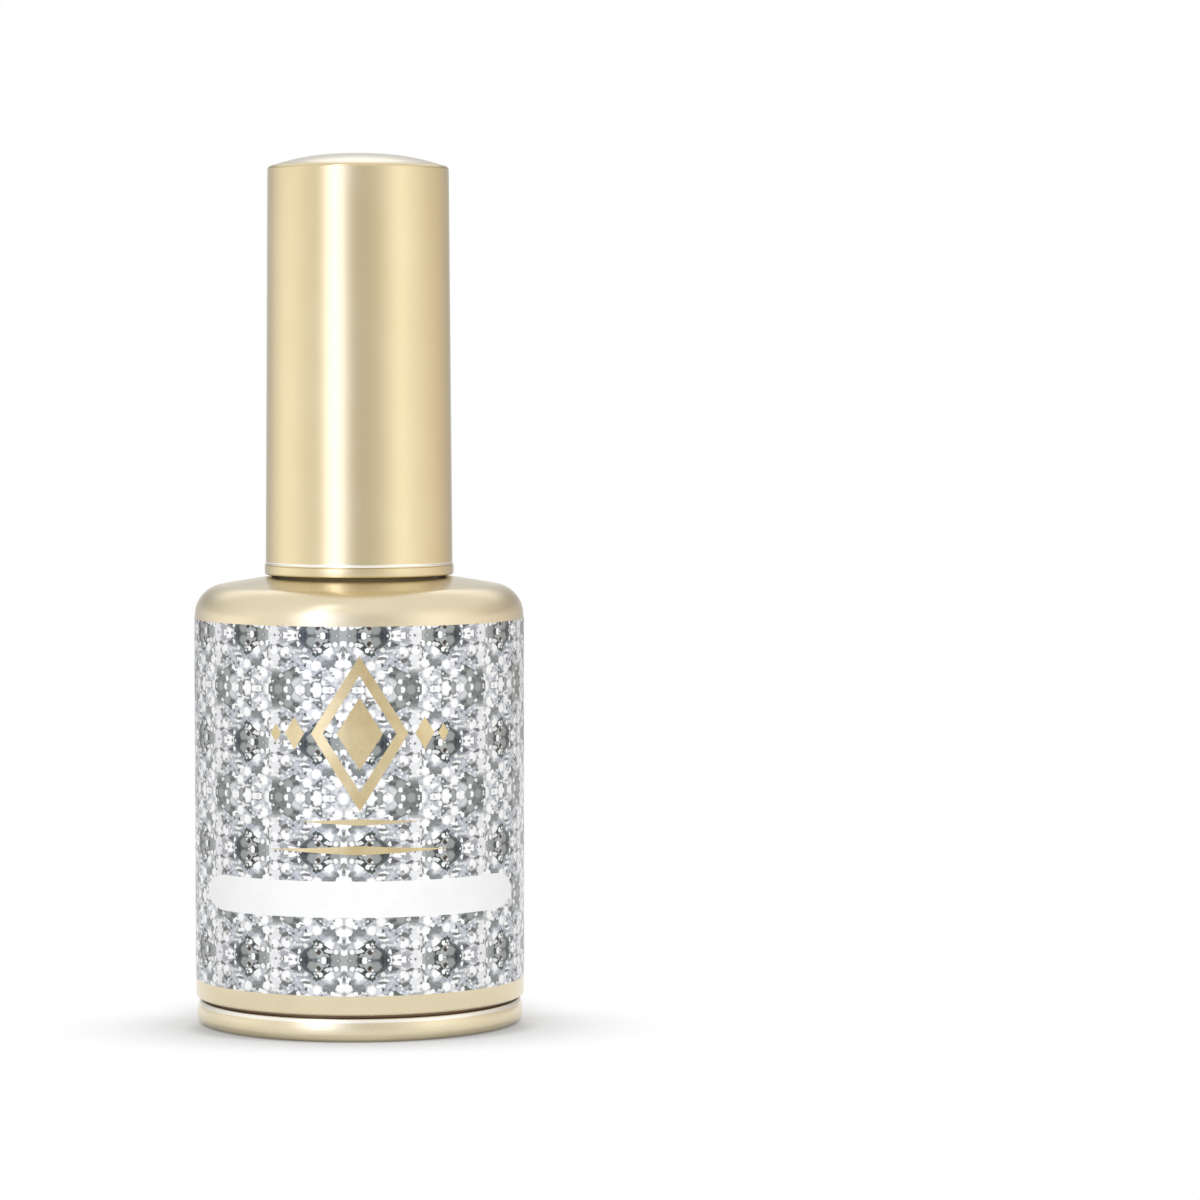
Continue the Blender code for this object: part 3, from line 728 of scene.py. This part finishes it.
def pale_gel(mix, tile, bent, number, across, up):
    """The ground between the flakes: mottled gel with pale haze, a shaded row and a pale column."""
    colour = mix.ramp(number, GEL_TONES)
    mottle = mix.ramp(mix.noise(bent, scale=3.2, detail=4.0), MOTTLE_TONES)
    colour = mix.blend(0.85, colour, mottle, mode="MULTIPLY")
    cloud = mix.noise(tile, scale=0.36, detail=2.0)
    haze = mix.fade(cloud, (0.52, 0.62), (0.0, 0.7))
    colour = mix.blend(haze, colour, HAZE_TONE)
    shaded_row = mix.fade(up, DARK_ROW, (0.0, 0.75))
    colour = mix.blend(shaded_row, colour, mix.blend(0.7, colour, ROW_TONE))
    ragged = mix.spread(mix.noise(tile, scale=1.6, detail=4.0), -1.1, 1.1)
    middle, width = PALE_COLUMN
    off_column = mix.maths("ADD", mix.off(across, middle), ragged)
    column = mix.fade(off_column, (width / 2, width), (1.0, 0.0))
    risen = mix.fade(up, COLUMN_RISE, (0.0, 0.85))
    return mix.blend(mix.times(column, risen), colour, COLUMN_TONE)


def silver_glitter():
    """Clear film over silver glitter: pale gel, crushed slivers, coarse flakes, dots and dust."""
    material, mix = new_material("silver_glitter", {"Coat Weight": 0.3, "Coat Roughness": 0.1})
    across, up = glitter_tile(mix)
    tile = mix.node("CombineXYZ", {"X": across, "Y": up, "Z": 0.0})["Vector"]
    drift = mix.node("TexNoise", {"Vector": tile, "Scale": 0.8, "Detail": 3.0})["Color"]
    bent = mix.node("VectorMath", {0: drift, 1: DRIFT, 2: tile}, operation="MULTIPLY_ADD")["Vector"]
    _, gel = flake_cells(mix, bent, **GEL_CELLS)
    colour = pale_gel(mix, tile, bent, gel["Red"], across, up)
    for turn_deg, shift in SLIVER_TURNS:
        colour, _, _ = sieve(mix, bent, colour, shift=shift, turn_deg=turn_deg, **SLIVERS)
    colour, coarse, distance = sieve(mix, tile, colour, **COARSE)
    rim = mix.times(coarse, mix.ranged(distance, (0.30, 0.44), (0.0, 0.55)))
    colour = mix.blend(rim, colour, mix.blend(1.0, colour, FLAKE_RIM, mode="MULTIPLY"))
    colour, dots, _ = sieve(mix, tile, colour, **DOTS)
    colour, _, _ = sieve(mix, tile, colour, strength=DUST_STRENGTH, **DUST)
    crisp = mix.node("BrightContrast", {"Color": colour, "Bright": -0.075, "Contrast": 0.13})
    rough = mix.ranged(gel["Blue"], (0.0, 1.0), (0.24, 0.5))
    metal = mix.times(coarse, 0.3)
    mix.feed(base_color=crisp["Color"], roughness=rough, metallic=metal)
    relief = mix.maths("ADD", coarse, mix.times(dots, 0.6))
    mix.bump(relief, strength=0.12, distance=0.03 * MM)
    return material


def panel_white():
    """White ink panel on the label, with a trace of the film's orange peel."""
    material, mix = new_material("panel_white", {"Coat Weight": 0.3, "Coat Roughness": 0.1})
    points = mix.points()
    cloud = mix.noise(points, scale=0.4)
    colour = mix.tones(cloud, *PANEL_INK)
    mix.feed(base_color=colour, roughness=mix.spread(cloud, 0.36, 0.44))
    peel = mix.noise(points, scale=5.0)
    mix.bump(peel, strength=0.03, distance=0.02 * MM)
    return material


def hot_foil():
    """Hot-stamped gold foil, with the film's grain showing through it."""
    material, mix = new_material("hot_foil", {"Metallic": 0.9})
    points = mix.points()
    grain = mix.noise(points, scale=6.0)
    colour = mix.tones(mix.noise(points, scale=0.35), *FOIL)
    mix.feed(base_color=colour, roughness=mix.spread(grain, 0.24, 0.34))
    mix.bump(grain, strength=0.06, distance=0.02 * MM)
    return material


def fleck_numbers(mix, points, scale):
    """Three random numbers for each silver fleck in the polish."""
    cells = mix.node("TexVoronoi", {"Vector": points, "Scale": scale})
    return mix.node("SeparateColor", {"Color": cells["Color"]})


def glitter_gel():
    """The polish: clear gel full of silver flecks."""
    material, mix = new_material("glitter_gel", {"Coat Weight": 0.8, "Coat Roughness": 0.03})
    numbers = fleck_numbers(mix, mix.points(), 2.2)
    colour = mix.ramp(numbers["Red"], FILL_TONES)
    metal = mix.ranged(numbers["Green"], (0.0, 1.0), (0.2, 0.8))
    rough = mix.ranged(numbers["Blue"], (0.0, 1.0), (0.15, 0.5))
    mix.feed(base_color=colour, metallic=metal, roughness=rough)
    return material


def moulded_plastic(name):
    """A moulded plastic with faint flow marks and a fine spark-eroded grain."""
    dark, light, roughness, subsurface = PLASTICS[name]
    inputs = {"Subsurface Weight": subsurface, "Subsurface Radius": (MM, MM, MM)}
    material, mix = new_material(name, inputs)
    points = mix.points()
    flow = mix.noise(points, scale=0.5, detail=4.0)
    colour = mix.tones(flow, dark, light)
    mix.feed(base_color=colour, roughness=mix.spread(flow, *roughness))
    grain = mix.noise(points, scale=9.0)
    mix.bump(grain, strength=0.08, distance=0.02 * MM)
    return material


def wet_bristle():
    """Black nylon, wet with silver polish towards the tips."""
    material, mix = new_material("wet_bristle", {"Coat Weight": 0.4, "Coat Roughness": 0.08})
    points = mix.points()
    height = mix.split(points)["Z"]
    ragged = mix.maths("ADD", height, mix.ranged(mix.noise(points, scale=1.2), (0.2, 0.8), (-2.5, 2.5)))
    line = (TUFT_BOX[0].z + TUFT_WET) / MM
    wet = mix.fade(ragged, (line - 2.0, line + 2.0), (1.0, 0.0))
    silver = mix.ramp(fleck_numbers(mix, points, 2.6)["Red"], WET_TONES)
    nylon = mix.tones(mix.noise(points, scale=2.0), *NYLON)
    colour = mix.blend(wet, nylon, silver)
    metal = mix.times(wet, 0.6)
    rough = mix.ranged(wet, (0.0, 1.0), (0.42, 0.22))
    mix.feed(base_color=colour, metallic=metal, roughness=rough)
    return material


def staple_wire():
    """Bright flat wire, with drawn streaks along it."""
    material, mix = new_material("staple_wire", {"Metallic": 1.0})
    points = mix.points()
    streaks = mix.node("Mapping", {"Vector": points, "Scale": (0.4, 6.0, 6.0)})["Vector"]
    drawn = mix.noise(streaks, scale=2.0)
    colour = mix.tones(drawn, *WIRE)
    mix.feed(base_color=colour, roughness=mix.spread(drawn, 0.22, 0.38))
    return material


def dress(piece, material, body, slot, *nodes):
    """Gives a finished piece its material and body, and hides the CAD nodes that it stands for. The slot
    is not used.
    """
    piece.data.materials.clear()
    piece.data.materials.append(material)
    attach(piece, body)
    if nodes:
        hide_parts(*nodes)


def lacquered_bottle():
    """The glass: its foot, groove, body, shoulder and neck, and then its bore and inside."""
    foot_radius = BODY_RADIUS - FOOT_INSET
    groove_radius = BODY_RADIUS - GROOVE_DEPTH
    ring_radius = foot_radius - FOOT_EDGE_ROUND - STANDING_RING
    slope_end = 90 - SHOULDER_SLOPE_DEG
    inner_radius = BODY_RADIUS - WALL
    outline = arc((0, 0), (ring_radius, PUNT_DEPTH), 90, 0, WIDE_ARC_STEPS)
    outline += rounded(foot_radius, 0, FOOT_EDGE_ROUND, -90, 0)
    foot_top = (foot_radius - FOOT_TOP_INSET, FOOT_HEIGHT - FOOT_TOP_ROUND)
    outline += arc(foot_top, (FOOT_TOP_INSET, FOOT_TOP_ROUND), 0, 90, WIDE_ARC_STEPS)
    groove_top = FOOT_HEIGHT + GROOVE_HEIGHT
    outline += [(groove_radius, FOOT_HEIGHT), (groove_radius, groove_top)]
    outline += rounded(BODY_RADIUS, groove_top, GROOVE_LIP, -90, 0)
    shoulder = (BODY_RADIUS - SHOULDER_CORNER, BODY_TOP)
    outline += round_arc(shoulder, SHOULDER_CORNER, 0, slope_end, WIDE_ARC_STEPS)
    fillet_foot = slope_height(SHOULDER_CORNER, BODY_RADIUS, COLLAR_RADIUS + NECK_FILLET)
    outline += rounded(COLLAR_RADIUS, fillet_foot, NECK_FILLET, 270, 180)
    collar_top = slope_height(SHOULDER_CORNER, BODY_RADIUS, COLLAR_RADIUS) + COLLAR_HEIGHT
    outline += round_arc((COLLAR_RADIUS - COLLAR_ROUND, collar_top), COLLAR_ROUND, 0, 90)
    neck_foot = (NECK_RADIUS + COLLAR_ROUND, collar_top + 2 * COLLAR_ROUND)
    outline += round_arc(neck_foot, COLLAR_ROUND, 270, 180)[1:]
    outline += rounded(NECK_RADIUS, RIM, RIM_ROUND, 0, 90)
    outline += rounded(BORE_RADIUS, RIM, RIM_ROUND, 90, 180)
    outline += [(BORE_RADIUS, slope_height(INNER_CORNER, inner_radius, BORE_RADIUS))]
    outline += round_arc((inner_radius - INNER_CORNER, BODY_TOP), INNER_CORNER, slope_end, 0)
    outline += rounded(inner_radius, FLOOR_HEIGHT, FLOOR_CORNER, 0, -90)
    outline += [(0, FLOOR_HEIGHT)]
    bottle = turned_piece("lacquered_bottle", outline)
    bead_radius = NECK_RADIUS + BEAD_PROUD
    fuse(bottle, thread_bead(bead_radius, NECK_BEAD, NECK_THREAD_BOTTOM, 0, NECK_THREAD_TURNS))
    dress(bottle, gold_lacquer(), "bottle", "gold_lacquered_glass", "glass_bottle")


def wrap_round(piece, radius_at):
    """Wraps an upright flat piece, drawn at y = 0, round the bottle from its middle at the front."""
    for vertex in piece.data.vertices:
        along = vertex.co.x
        radius = radius_at(along) + vertex.co.y
        angle = along / BODY_RADIUS
        vertex.co.x = radius * math.sin(angle)
        vertex.co.y = -radius * math.cos(angle)


def slice_upright(piece):
    """Cuts a flat piece into upright strips, so that it can follow the bottle's round."""
    low = min(vertex.co.x for vertex in piece.data.vertices)
    high = max(vertex.co.x for vertex in piece.data.vertices)
    count = math.ceil((high - low) / STRIP_WIDTH)
    bpy.ops.object.mode_set(mode="EDIT")
    for cut in range(1, count):
        place = low + (high - low) * cut / count
        bpy.ops.mesh.select_all(action="SELECT")
        bpy.ops.mesh.bisect(plane_co=(place, 0, 0), plane_no=(1, 0, 0), threshold=MM / 10000)
    bpy.ops.object.mode_set(mode="OBJECT")


def stand_upright(piece, middle):
    """Turns a flat shape drawn on the floor upright, with its middle at a height on the front."""
    for vertex in piece.data.vertices:
        vertex.co = (vertex.co.x, 0, middle + vertex.co.y)


def label_radius(along):
    """The film's inner radius: it climbs over its own start at the seam behind."""
    seam = math.pi * BODY_RADIUS - LABEL_OVERLAP / 2
    climb = min(max((along - seam) / (LABEL_OVERLAP / 3), 0), 1)
    return BODY_RADIUS + GLUE_GAP + climb * (LABEL_FILM + GLUE_GAP)


def glitter_label():
    """The wrap label, cut as a flat strip and wrapped round the body."""
    deselect()
    columns, rows = LABEL_GRID
    bpy.ops.mesh.primitive_grid_add(x_subdivisions=columns, y_subdivisions=rows, size=1, calc_uvs=True)
    label = bpy.context.object
    label.data.uv_layers[0].name = "wrap"
    bpy.ops.object.mode_set(mode="EDIT")
    bpy.ops.transform.resize(value=(LABEL_LENGTH, LABEL_HEIGHT, 1))
    bpy.ops.object.mode_set(mode="OBJECT")
    stand_upright(label, (LABEL_BOX[0].z + LABEL_BOX[1].z) / 2)
    wrap_round(label, label_radius)
    apply_modifier(label, "SOLIDIFY", thickness=LABEL_FILM, offset=1.0)
    finish_mesh(label, "glitter_label")
    dress(label, silver_glitter(), "bottle", "glitter_film", "wrap_label")


def print_radius(_along):
    """The film's outer face, which the print lies on."""
    return BODY_RADIUS + GLUE_GAP + LABEL_FILM


def print_on_label(piece, name, material, slot):
    """Wraps a flat shape onto the label as a thin layer of ink or foil."""
    wrap_round(piece, print_radius)
    apply_modifier(piece, "SOLIDIFY", thickness=PRINT_FILM, offset=1.0)
    finish_mesh(piece, name)
    dress(piece, material, "bottle", slot)


def white_panel():
    """The bare white panel: a disc whose two halves are drawn out and apart."""
    panel = flat_disc(PANEL_STEPS, PANEL_HEIGHT / 2)
    bpy.ops.object.mode_set(mode="EDIT")
    bpy.ops.transform.resize(value=(2 * PANEL_END / PANEL_HEIGHT, 1, 1))
    bpy.ops.object.mode_set(mode="OBJECT")
    reach = PANEL_LENGTH / 2 - PANEL_END
    for vertex in panel.data.vertices:
        vertex.co.x += math.copysign(reach, vertex.co.x)
    stand_upright(panel, PANEL_MIDDLE)
    slice_upright(panel)
    print_on_label(panel, "white_panel", panel_white(), "glitter_film")


def flat_lozenge(size, middle, across=0.0, frame_width=None):
    """An upright lozenge, cut into strips, or an open lozenge with a frame of this width."""
    lozenge = flat_disc(4, 0.5)
    bpy.ops.object.mode_set(mode="EDIT")
    bpy.ops.transform.resize(value=(*size, 1))
    if frame_width:
        bpy.ops.mesh.inset(thickness=frame_width)
        bpy.ops.mesh.delete(type="FACE")
    bpy.ops.mesh.select_all(action="SELECT")
    bpy.ops.transform.translate(value=(across, 0, 0))
    bpy.ops.object.mode_set(mode="OBJECT")
    stand_upright(lozenge, middle)
    slice_upright(lozenge)
    return lozenge


def gold_foil():
    """A plain gold foil ornament: a lozenge in a lozenge, small ones beside it, and two rules."""
    inner = [side * MOTIF_HEART for side in MOTIF_SIZE]
    shapes = [flat_lozenge(MOTIF_SIZE, MOTIF_MIDDLE, 0, MOTIF_FRAME), flat_lozenge(inner, MOTIF_MIDDLE)]
    for width, height, reach in SIDE_LOZENGES:
        shapes.append(flat_lozenge((width, height), MOTIF_MIDDLE, -reach))
        shapes.append(flat_lozenge((width, height), MOTIF_MIDDLE, reach))
    for length, width, middle in RULES:
        shapes.append(flat_lozenge((length, width), middle))
    pick(*shapes)
    bpy.ops.object.join()
    print_on_label(shapes[0], "gold_foil", hot_foil(), "gold_shell")


def gel_fill():
    """The polish in the bottle, with a meniscus up the glass and the well that the brush stands in."""
    radius = POLISH_BOX[1].x
    bottom = POLISH_BOX[0].z
    top = POLISH_BOX[1].z - MENISCUS
    outline = [(0, WELL_FLOOR), (WELL_RADIUS, WELL_FLOOR), (WELL_RADIUS, top)]
    curve = (radius - 2 * MENISCUS, top + MENISCUS)
    outline += arc(curve, (2 * MENISCUS, MENISCUS), 270, 360, SMALL_ARC_STEPS)
    outline += rounded(radius, bottom, FLOOR_CORNER, 0, -90)
    outline += [(0, bottom)]
    fill = turned_piece("gel_fill", outline, steps=INNER_STEPS)
    dress(fill, glitter_gel(), "bottle", "silver_polish", "polish")


def cap_flare():
    """The side's flare onto the band at the rim, and the fine groove between them."""
    band_top = CAP_BOTTOM + BEAD_HEIGHT
    points = []
    for step in range(SMALL_ARC_STEPS + 1):
        share = step / SMALL_ARC_STEPS
        height = band_top + FLARE_HEIGHT * (1 - share)
        points.append((CAP_RADIUS - FLARE * (1 - share**2), height))
    points.append((CAP_RADIUS - BAND_GROOVE, band_top - BAND_GROOVE))
    points.append((CAP_RADIUS, band_top - 2 * BAND_GROOVE))
    return points


def gold_cap():
    """The cap's shell: dome, tapered side, flare and band outside, and a thin wall inside."""
    side_top = CAP_TOP - CAP_DOME
    dome_radius = cap_radius(side_top) - CAP_EDGE_ROUND
    inner_top = side_top - SHELL_WALL
    outline = dome(dome_radius, side_top, CAP_DOME)
    edge = (dome_radius, side_top - CAP_EDGE_ROUND)
    outline += round_arc(edge, CAP_EDGE_ROUND, CAP_EDGE_SWEEP_DEG, 0)
    outline += cap_flare()
    outline += rounded(CAP_RADIUS, CAP_BOTTOM, CAP_LOWER_ROUND, 0, -90)
    outline += [(CAP_RADIUS - SHELL_WALL, CAP_BOTTOM)]
    outline += reversed(dome(cap_radius(inner_top) - SHELL_WALL, inner_top, CAP_DOME))
    cap = turned_piece("gold_cap", outline)
    dress(cap, champagne_anodised(), "cap", "gold_shell", "cap_shell")


def threaded_insert():
    """The inner cap, with its ceiling, its socket for the brush, and the thread."""
    bottom, top = INNER_CAP_BOX[0].z, INNER_CAP_BOX[1].z
    ceiling_bottom = STEM_BOX[1].z - PLUG_HEIGHT + STACK_GAP
    chamber_floor = ceiling_bottom + CEILING
    socket_top = STEM_BOX[1].z + STACK_GAP
    post_top = socket_top + POST_WALL
    inset = SHELL_WALL + SHELL_FIT
    upper = cap_radius(top) - inset
    lower = cap_radius(bottom) - inset
    outline = [
        (0, post_top),
        *rounded(POST_RADIUS, post_top, MOULD_ROUND, 90, 0),
        (POST_RADIUS, chamber_floor),
        (cap_radius(chamber_floor) - inset - UPPER_WALL, chamber_floor),
        (upper - UPPER_WALL, top),
        *rounded(upper, top, MOULD_ROUND, 90, 0),
        *rounded(lower, bottom, MOULD_ROUND, 0, -90),
        *rounded(CAP_BORE_RADIUS, bottom, MOULD_ROUND, 270, 180),
        (CAP_BORE_RADIUS, ceiling_bottom),
        (SOCKET_RADIUS, ceiling_bottom),
        (SOCKET_RADIUS, socket_top),
        (0, socket_top),
    ]
    insert = turned_piece("threaded_insert", outline, steps=INNER_STEPS)
    bead_radius = CAP_BORE_RADIUS - BEAD_PROUD / 2
    bead_bottom = NECK_THREAD_BOTTOM - THREAD_PITCH / 2
    fuse(insert, thread_bead(bead_radius, CAP_BEAD, bead_bottom, -CAP_THREAD_LAG, CAP_THREAD_TURNS))
    dress(insert, moulded_plastic("natural_polypropylene"), "cap", "natural_plastic", "inner_cap")


def liner_ring(name, box, node, slot):
    """One ply of the liner, a ring with softened edges. Its body has the node's name."""
    low, high = box[0].z, box[1].z
    outer = box[1].x
    outline = rounded(outer, high, LINER_EDGE, 90, 0)
    outline += rounded(outer, low, LINER_EDGE, 0, -90)
    outline += rounded(LINER_BORE_RADIUS, low, LINER_EDGE, 270, 180)
    outline += rounded(LINER_BORE_RADIUS, high, LINER_EDGE, 180, 90)
    ring = turned_piece(name, outline, steps=INNER_STEPS, closed=True)
    dress(ring, moulded_plastic(slot), node, slot, node)


def brush_rod():
    """The brush's stem, with its plug, its flange and the hole for the tuft."""
    top = STEM_BOX[1].z
    end = STEM_BOX[0].z
    flange_top = top - PLUG_HEIGHT
    flange_bottom = flange_top - FLANGE_THICKNESS
    hole_top = end + TUFT_HOLE_DEPTH
    outline = [
        (0, top),
        (PLUG_RADIUS - PLUG_CHAMFER, top),
        (PLUG_RADIUS, top - PLUG_CHAMFER),
        (PLUG_RADIUS, flange_top),
        (NECK_RADIUS, flange_top),
        (NECK_RADIUS, flange_bottom),
        (STEM_TOP_RADIUS, flange_bottom),
        (STEM_TOP_RADIUS, flange_bottom - STEM_TOP_DEPTH),
        *rounded(STEM_TIP_RADIUS, end, STEM_TIP_ROUND, 0, -90),
        (TUFT_HOLE_RADIUS, end),
        (TUFT_HOLE_RADIUS, hole_top),
        (0, hole_top),
    ]
    rod = turned_piece("brush_rod", outline, steps=STEM_STEPS)
    dress(rod, moulded_plastic("black_polyethylene"), "cap", "stem_plastic", "brush_stem")


def one_strand():
    """A single bristle of unit length along Z, which tapers to a fine tip."""
    strand = flat_disc(STRAND_SIDES, STRAND_RADIUS)
    bpy.ops.object.mode_set(mode="EDIT")
    for ring in range(STRAND_RINGS):
        step = 1 / STRAND_RINGS
        bpy.ops.mesh.extrude_region_move(TRANSFORM_OT_translate={"value": (0, 0, step)})
        if ring == STRAND_RINGS - 1:
            bpy.ops.transform.resize(value=(STRAND_TIP, STRAND_TIP, 1))
    face_outwards()
    return strand


def bristles():
    """The tuft: strands set as on a sunflower's head, which spread a little towards a domed tip."""
    strand = one_strand()
    root = STEM_BOX[0].z + TUFT_SEAT
    copies = []
    for index in range(STRAND_COUNT):
        share = math.sqrt((index + 0.5) / STRAND_COUNT)
        angle = index * GOLDEN_ANGLE
        reach = (TUFT_RADIUS - 2 * STRAND_RADIUS) * share
        uneven = STRAND_UNEVEN * ((index * GOLDEN_SHARE) % 1)
        end = TUFT_BOX[0].z + TUFT_TIP_DOME * share * share + uneven
        copy = strand.copy()
        copy.data = strand.data.copy()
        bpy.context.scene.collection.objects.link(copy)
        for vertex in copy.data.vertices:
            along = vertex.co.z
            belly = 1 + (TUFT_SPLAY - 1) * math.sin(along * TUFT_BELLY) / math.sin(TUFT_BELLY)
            vertex.co.x += reach * belly * math.cos(angle)
            vertex.co.y += reach * belly * math.sin(angle)
            vertex.co.z = root + (end - root) * along
        copies.append(copy)
    bpy.data.objects.remove(strand)
    pick(*copies)
    bpy.ops.object.join()
    tuft = finish_mesh(copies[0], "bristles", STRAND_SMOOTH_DEG)
    pick(tuft)
    bpy.ops.object.mode_set(mode="EDIT")
    face_outwards()
    dress(tuft, wet_bristle(), "cap", "nylon_bristle", "bristle_tuft")


def finish_staple():
    """The staple is hidden in the stem, so its CAD solid stays, with its finish."""
    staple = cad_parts["bristle_staple"]
    staple.data.materials.clear()
    staple.data.materials.append(staple_wire())


def studio_floor():
    """A pale floor that keeps the bottle's soft shadow, is painted darker right round the foot as a
    contact shadow, and is plain white further out.
    """
    floor = flat_disc(FLOOR_STEPS, FLOOR_RADIUS)
    floor.name = "floor"
    floor.location.z = -FLOOR_DROP
    material, mix = new_material("pale_floor", {"Roughness": 0.9})
    path = mix.node("LightPath")
    seen = mix.maths("MAXIMUM", path["Is Camera Ray"], path["Is Glossy Ray"])
    seen = mix.maths("MAXIMUM", seen, path["Is Transmission Ray"])
    middle = mix.node("TexCoord")["Object"]
    spread = {"Vector": middle, "Location": (0, SHADOW_LEAD, 0), "Scale": (1 / SHADOW_SPREAD, 1, 1)}
    place = mix.node("Mapping", spread)["Vector"]
    distance = mix.node("VectorMath", {0: place}, operation="LENGTH")["Value"]
    round_distance = mix.node("VectorMath", {0: middle}, operation="LENGTH")["Value"]
    round_distance = mix.times(round_distance, SHADOW_ROUND)
    nearest = mix.maths("MINIMUM", distance, round_distance)
    far = mix.fade(nearest, SHADOW_REACH)
    # The floor's colour darkens towards the foot: a painted contact shadow.
    painted_contact_shadow = mix.fade(distance, CONTACT_SHADOW_REACH, CONTACT_SHADOW_TONES)
    mix.feed(base_color=painted_contact_shadow)
    matt = mix.shader.outputs["BSDF"]
    glow = mix.node("Emission", {"Strength": FLOOR_GLOW})["Emission"]
    near = mix.node("AddShader", {0: matt, 1: glow})["Shader"]
    white = mix.node("Emission", {"Strength": 1.0})["Emission"]
    shown = mix.node("MixShader", {0: far, 1: near, 2: white})["Shader"]
    mixed = mix.node("MixShader", {0: seen, 1: matt, 2: shown})["Shader"]
    mix.plug(mix.tree.nodes["Material Output"].inputs["Surface"], mixed)
    floor.data.materials.append(material)


def studio_glow(mix, direction):
    """The room's soft walls of light by azimuth, its ceiling, its backdrop and one bright strip."""
    place = mix.split(direction)
    away, height = place["Y"], place["Z"]
    angle = mix.maths("ARCTAN2", place["X"], mix.times(away, -1.0))
    turn = mix.ranged(angle, (-math.pi, math.pi), (0.0, 1.0))
    stops = []
    for azimuth, glow, tint in ROOM_GLOW:
        stops.append(((azimuth + 180) / 360, [glow / GLOW_SCALE * share for share in tint]))
    walls = mix.ramp(turn, stops, interpolation="B_SPLINE")
    raised = mix.fade(height, REAR_Z)
    rear = mix.fade(away, REAR_Y, (0.0, REAR_DIMMING))
    walls = mix.blend(mix.times(rear, raised), walls, BLACK)
    above = mix.fade(height, CEILING_Z)
    room = mix.blend(above, walls, (CEILING_GLOW / GLOW_SCALE,) * 3)
    behind = mix.fade(away, BACKDROP_Y, (0.0, BACKDROP_GLOW / GLOW_SCALE))
    high = mix.fade(height, BACKDROP_Z)
    room = mix.blend(1.0, room, mix.times(behind, high), mode="ADD")
    off_strip = mix.off(angle, math.radians(STRIP_AZIMUTH_DEG))
    edges = [math.radians(edge) for edge in STRIP_EDGES_DEG]
    strip = mix.ranged(off_strip, edges, (STRIP_GLOW / GLOW_SCALE, 0.0))
    lifted = mix.fade(height, STRIP_FOOT_Z)
    ended = mix.fade(height, STRIP_HEAD_Z, (1.0, 0.0))
    strip = mix.times(strip, mix.times(lifted, ended))
    return mix.blend(1.0, room, mix.blend(strip, BLACK, COOL), mode="ADD")


def studio_world():
    """White to the camera, and a soft room with brighter and dimmer walls for the metal to reflect."""
    world = bpy.data.worlds.new("studio")
    bpy.context.scene.world = world
    world.use_nodes = True
    mix = Mix(world.node_tree, "Background")
    path = mix.node("LightPath")
    room = studio_glow(mix, mix.node("TexCoord")["Generated"])
    shiny = mix.maths("MAXIMUM", path["Is Glossy Ray"], path["Is Transmission Ray"])
    colour = mix.blend(shiny, NEUTRAL, room)
    bounced = mix.maths("MINIMUM", path["Diffuse Depth"], 1.0)
    glow = mix.ranged(bounced, (0.0, 1.0), (GLOW_SCALE, GLOW_SCALE * (1 - BOUNCE_DIMMING)))
    lit = mix.between(shiny, AMBIENT, glow)
    strength = mix.between(path["Is Camera Ray"], lit, 1.0)
    mix.feed(color=colour, strength=strength)


def softbox(name, azimuth_deg, distance, middle, size, radiance, shadow):
    """A soft light that faces the bottle. Azimuth 0 is the camera's side, and +90 is to its right."""
    light = bpy.data.lights.new(name, "AREA")
    light.shape = "RECTANGLE"
    light.size, light.size_y = size
    light.energy = radiance * math.pi * size[0] * size[1]
    lamp = bpy.data.objects.new(name, light)
    bpy.context.scene.collection.objects.link(lamp)
    azimuth = math.radians(azimuth_deg)
    lamp.location = (distance * math.sin(azimuth), -distance * math.cos(azimuth), middle)
    aim = SOFTBOX_AIM - lamp.location
    lamp.rotation_euler = aim.to_track_quat("-Z", "Y").to_euler()
    lamp.visible_camera = lamp.visible_glossy = False
    light.use_shadow = shadow


def camera_view():
    """The photograph's own viewpoint: level sight lines, with the axis left of the middle."""
    view = bpy.data.cameras.new("camera")
    view.sensor_width = SENSOR_MM
    view.lens = FOCAL_PIXELS / FRAME_PIXELS * SENSOR_MM
    view.clip_start = CAMERA_NEAREST
    camera = bpy.data.objects.new("camera", view)
    bpy.context.scene.collection.objects.link(camera)
    camera.location = (0, -CAMERA_DISTANCE, CAMERA_HEIGHT)
    yaw = math.atan((FRAME_PIXELS / 2 - AXIS_PIXEL) / FOCAL_PIXELS)
    pitch = math.atan((FRAME_PIXELS / 2 - HORIZON_PIXEL) / FOCAL_PIXELS)
    camera.rotation_euler = (math.pi / 2 - pitch, 0, -yaw)
    bpy.context.scene.camera = camera


def main():
    lacquered_bottle()
    glitter_label()
    white_panel()
    gold_foil()
    gel_fill()
    liner_ring("facing_film", FACING_BOX, "liner_facing", "liner_film")
    liner_ring("foam_pad", PAD_BOX, "liner_pad", "liner_foam")
    gold_cap()
    threaded_insert()
    brush_rod()
    bristles()
    finish_staple()
    studio_floor()
    studio_world()
    for box in SOFTBOXES:
        softbox(*box)
    camera_view()
    bpy.context.scene.view_settings.view_transform = "Standard"


main()
